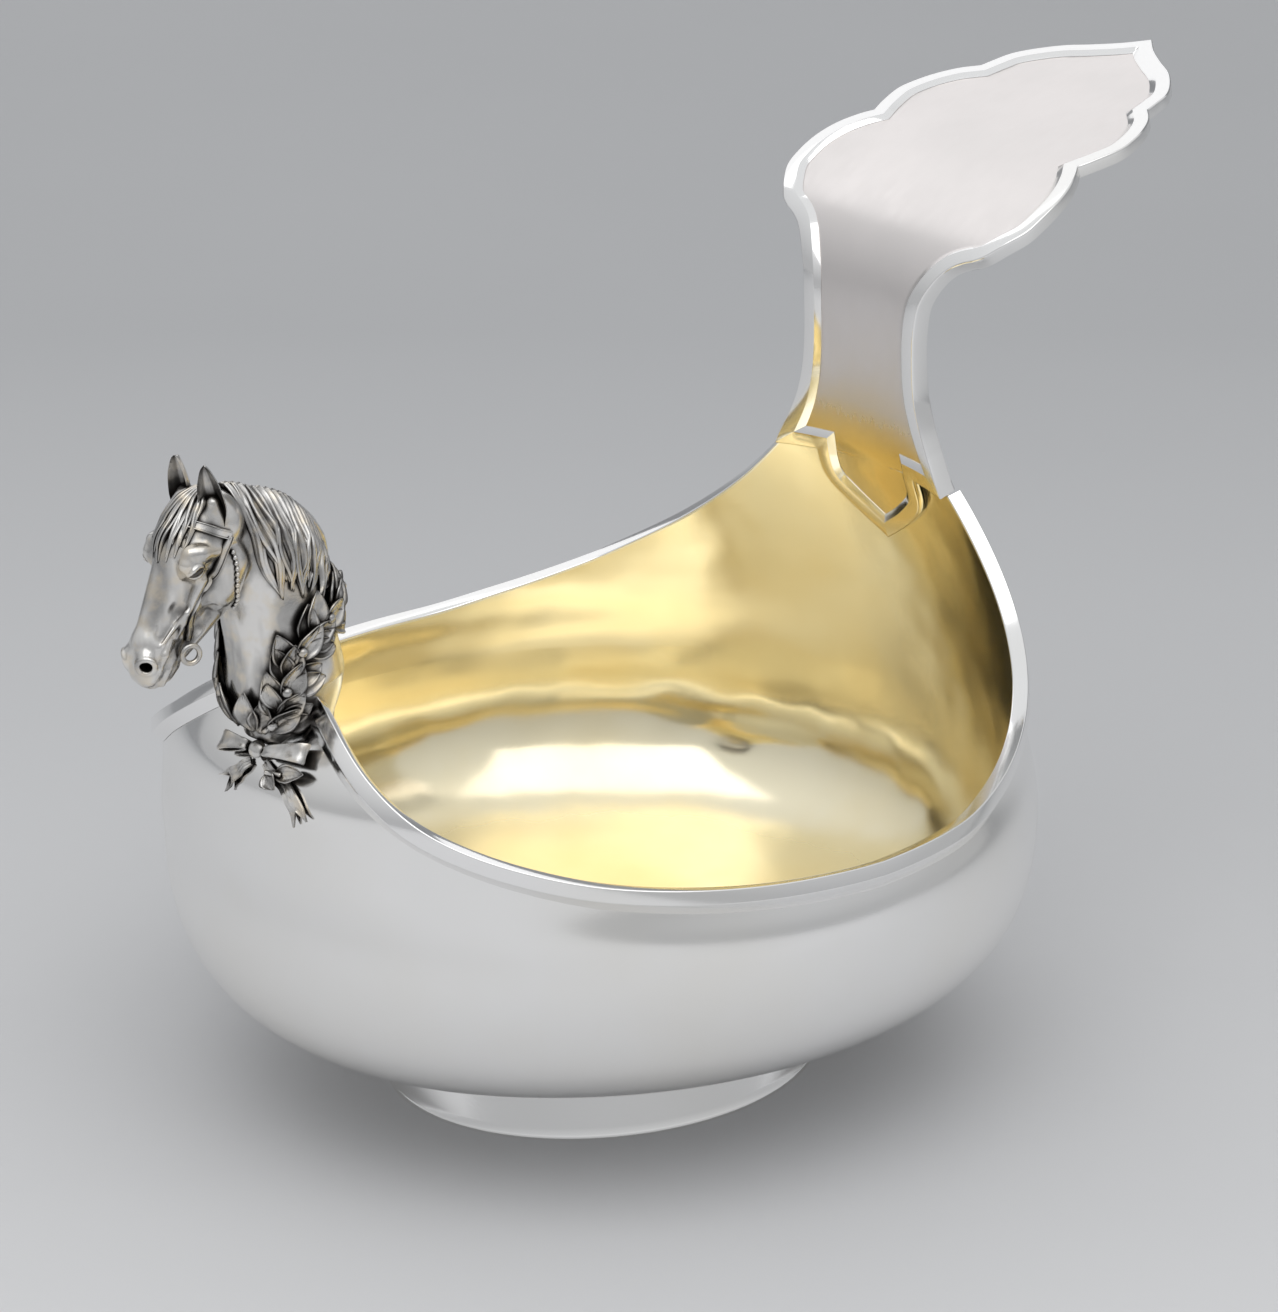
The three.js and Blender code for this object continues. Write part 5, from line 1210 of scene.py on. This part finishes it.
def make_loop(side, length, tilt, hand):
    angle = circle(56)
    inner = KNOT_RADII[0] + CLEARANCE
    reach = inner + length / 2 * (1 - np.cos(angle))
    spread = (0.45 + 0.55 * (reach - inner) / length) * RIBBON_HALF
    rise = 0.7 + 1.7 * (1 + np.sin(angle) * (0.5 + 0.5 * np.sin(angle / 2)))
    section = [(-1, -1), (-0.5, -0.7), (0, -0.6), (0.5, -0.7), (1, -1), (1.06, 0), (1, 1), (0.8, 1.25),
               (0.4, 0.8), (0, 0.6), (-0.4, 0.8), (-0.8, 1.25), (-1, 1), (-1.06, 0)]
    rings = np.stack([
        under_prow(side * (reach + 0.7 - out * 0.35 * np.cos(angle)),
                   tilt * (reach - inner) + tall * spread, rise + out * 0.35 * np.sin(angle))
        for tall, out in section], 1)
    make_cast("ribbon_loop_" + hand, *swept(rings, True), "bow_loop_" + hand, 40)


def make_tail(stops, side, hand):
    path = spline([(out * side, up) for out, up in stops], 0.1)
    u, edge, k, faces = sheet_grid(36, 14)
    stages = np.linspace(0, 1, len(path))
    at, way = looked_up(u, stages, path), looked_up(u, stages, unit(np.gradient(path, axis=0)))
    half = RIBBON_HALF * (0.45 + 0.6 * u) * edge
    notch = 3.8 * 0.8 * (np.abs(edge) - 1) * u ** 6
    wave = 0.5 * np.sin(u * 2.4 * np.pi) ** 2 + 0.2 * u * edge ** 2
    relief = 0.16 * np.abs(edge) ** 6 + 0.1 * np.cos(3 * np.pi * edge) * (1 - u) + 0.06
    out = at[:, 0] - way[:, 1] * half + way[:, 0] * notch
    up = at[:, 1] + way[:, 0] * half + way[:, 1] * notch
    points = under_prow(out, up, wave + k * (0.55 + relief))
    make_cast("ribbon_end_" + hand, points, outward(points, faces), "ribbon_tail_" + hand, 45)


def make_spray():
    stops = [(-5.6, -3.4), (-8, -3.2), (-10, -3)]
    seats = np.array([under_prow(x, y, -CLEARANCE) for x, y in stops])
    stem = spline([under_prow(x, y, 1.7 + STEM_RADIUS) for x, y in stops], 0.3)
    parts = [tube(stem, STEM_RADIUS * 0.8, out_of_prow(17), 10)]
    roots, axes, ups = [], [], []
    for row, turn in ((1, -0.1), (0, 0.75)):
        up = bowl_normal(np.arctan2(seats[row][1:2], seats[row][:1]), seats[row][2:3])[0]
        roots.append(seats[row])
        ups.append(up)
        axes.append(turned(unit(seats[row + 1] - seats[row]), up, -turn))
    parts += leaves(roots, axes, ups, [7.6, 4.6], [3.8, 3.8], [1.7, 1.7], [0.5, 0.5], on_bowl)
    make_group("laurel_spray", parts, "leaf_spray")


def make_castings():
    make_horse()
    make_mane()
    make_forelock()
    make_bridle()
    for side, hand in HANDS:
        make_ear(side, "ear_" + hand)
        make_garland(side, hand)
    make_knot()
    make_loop(1, 7.6, -0.14, "left")
    make_loop(-1, 11.4, 0.16, "right")
    make_tail([(1.6, -2.4), (3.6, -4.4), (5.8, -6.6), (8, -8.8)], 1, "left")
    make_tail([(2.6, -1.8), (6.2, -3.4), (10.4, -5), (13.8, -8), (16, -11.6)], -1, "right")
    make_spray()


make_bowl()
make_foot()
make_band(1, "rim_moulding_left")
make_band(-1, "rim_moulding_right")
make_plate()
make_borders()
make_castings()
for name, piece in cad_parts.items():
    piece.data.materials.clear()
    piece.data.materials.append(CAST)


# The studio: a pale floor that rises into a backdrop and turns grey with depth from the camera as painted
# shade, two large soft lamps and a soft sky.
VIEW_WAY = (0.6743, 0.7384)


def make_studio():
    material, tree, shader, place = new_material("floor_paper", 0.0)
    mottle = noise(tree, place, 6, 4)
    # Painted shade: the floor's colour goes from pale to grey with depth along the view.
    deep = node(tree, "ShaderNodeVectorMath", {0: place, 1: (*VIEW_WAY, 0)}, operation="DOT_PRODUCT")
    deep = ramp(tree, deep.outputs["Value"], 0, 1, -0.25, 0.55)
    pale = mixed(tree, mottle, (0.74, 0.74, 0.745), (0.71, 0.71, 0.72))
    painted_shade_grey = mixed(tree, mottle, (0.47, 0.475, 0.485), (0.45, 0.455, 0.465))
    tree.links.new(mixed(tree, deep, pale, painted_shade_grey), shader.inputs["Base Color"])
    shader.inputs["Roughness"].default_value = 0.8
    tree.links.new(bump(tree, noise(tree, place, 700, 3), 0.05, 0.0003), shader.inputs["Normal"])
    profile = [(-3.0, 0.0), (1.6, 0.0)]
    for step in range(1, 13):
        angle = math.pi / 2 * step / 12
        profile.append((1.6 + 0.9 * math.sin(angle), 0.9 - 0.9 * math.cos(angle)))
    profile.append((2.5, 3.2))
    across = np.linspace(-4, 4, 9)
    view = np.array(VIEW_WAY)
    rings = []
    for deep, tall in profile:
        for wide in across:
            spot = view * deep + np.array([view[1], -view[0]]) * wide
            rings.append((spot[0], spot[1], tall - 0.00002))
    faces = grid_faces(len(profile), len(across))[:, ::-1]
    floor = linked("studio_floor", smooth_mesh("studio_floor", rings, faces, [material]))


def placed(made, side, up, back, place):
    rows = [[side[k], up[k], back[k], place[k]] for k in range(3)]
    made.matrix_world = Matrix(rows + [[0, 0, 0, 1]])


def lamp(name, place, aim, size, energy):
    data = bpy.data.lights.new(name, "AREA")
    data.shape = "RECTANGLE"
    data.size, data.size_y = size
    data.energy = energy
    back = unit(np.array(place, float) - np.array(aim, float))
    side = unit(np.cross([0, 0, 1], back))
    placed(linked(name, data), side, np.cross(back, side), back, place)


make_studio()
lamp("key", (-0.45, -0.6, 1.4), (-0.1, -0.1, 0.05), (1.6, 1.4), 6.2)
lamp("back", (0.75, 1.35, 1.25), (0, 0, 0.12), (2.2, 1.2), 6.2)
world = bpy.data.worlds.new("studio")
world.use_nodes = True
sky = world.node_tree
direction = node(sky, "ShaderNodeTexCoord").outputs["Generated"]
share = ramp(sky, height_of(sky, direction), 0, 1, 0.1, 0.8)
glow = mixed(sky, share, (0.44, 0.445, 0.455), (0.77, 0.78, 0.79))
sky.links.new(glow, sky.nodes["Background"].inputs["Color"])
sky.nodes["Background"].inputs["Strength"].default_value = 1.0
bpy.context.scene.world = world
bpy.context.scene.view_settings.view_transform = "Standard"

# The camera stands where the photograph's did.
HEADING = math.radians(47.59)
DOWN = math.radians(20.75)
FOCAL_PIXELS = 5814.4
PHOTO_HEIGHT = 1312
look = np.array([
    math.cos(HEADING) * math.cos(DOWN), math.sin(HEADING) * math.cos(DOWN), -math.sin(DOWN)])
right = np.array([math.sin(HEADING), -math.cos(HEADING), 0])
upward = np.cross(right, look)
spot = (np.array([-844.54, -937.09, 577.83]) + [SHIFT, 0, 0]) / 1000
camera_data = bpy.data.cameras.new("camera")
camera_data.sensor_width = 36
camera_data.lens = camera_data.sensor_width * FOCAL_PIXELS / PHOTO_HEIGHT
camera_data.clip_start = 0.05
camera_data.clip_end = 30
camera = linked("camera", camera_data)
placed(camera, right, upward, -look, spot)
bpy.context.scene.camera = camera
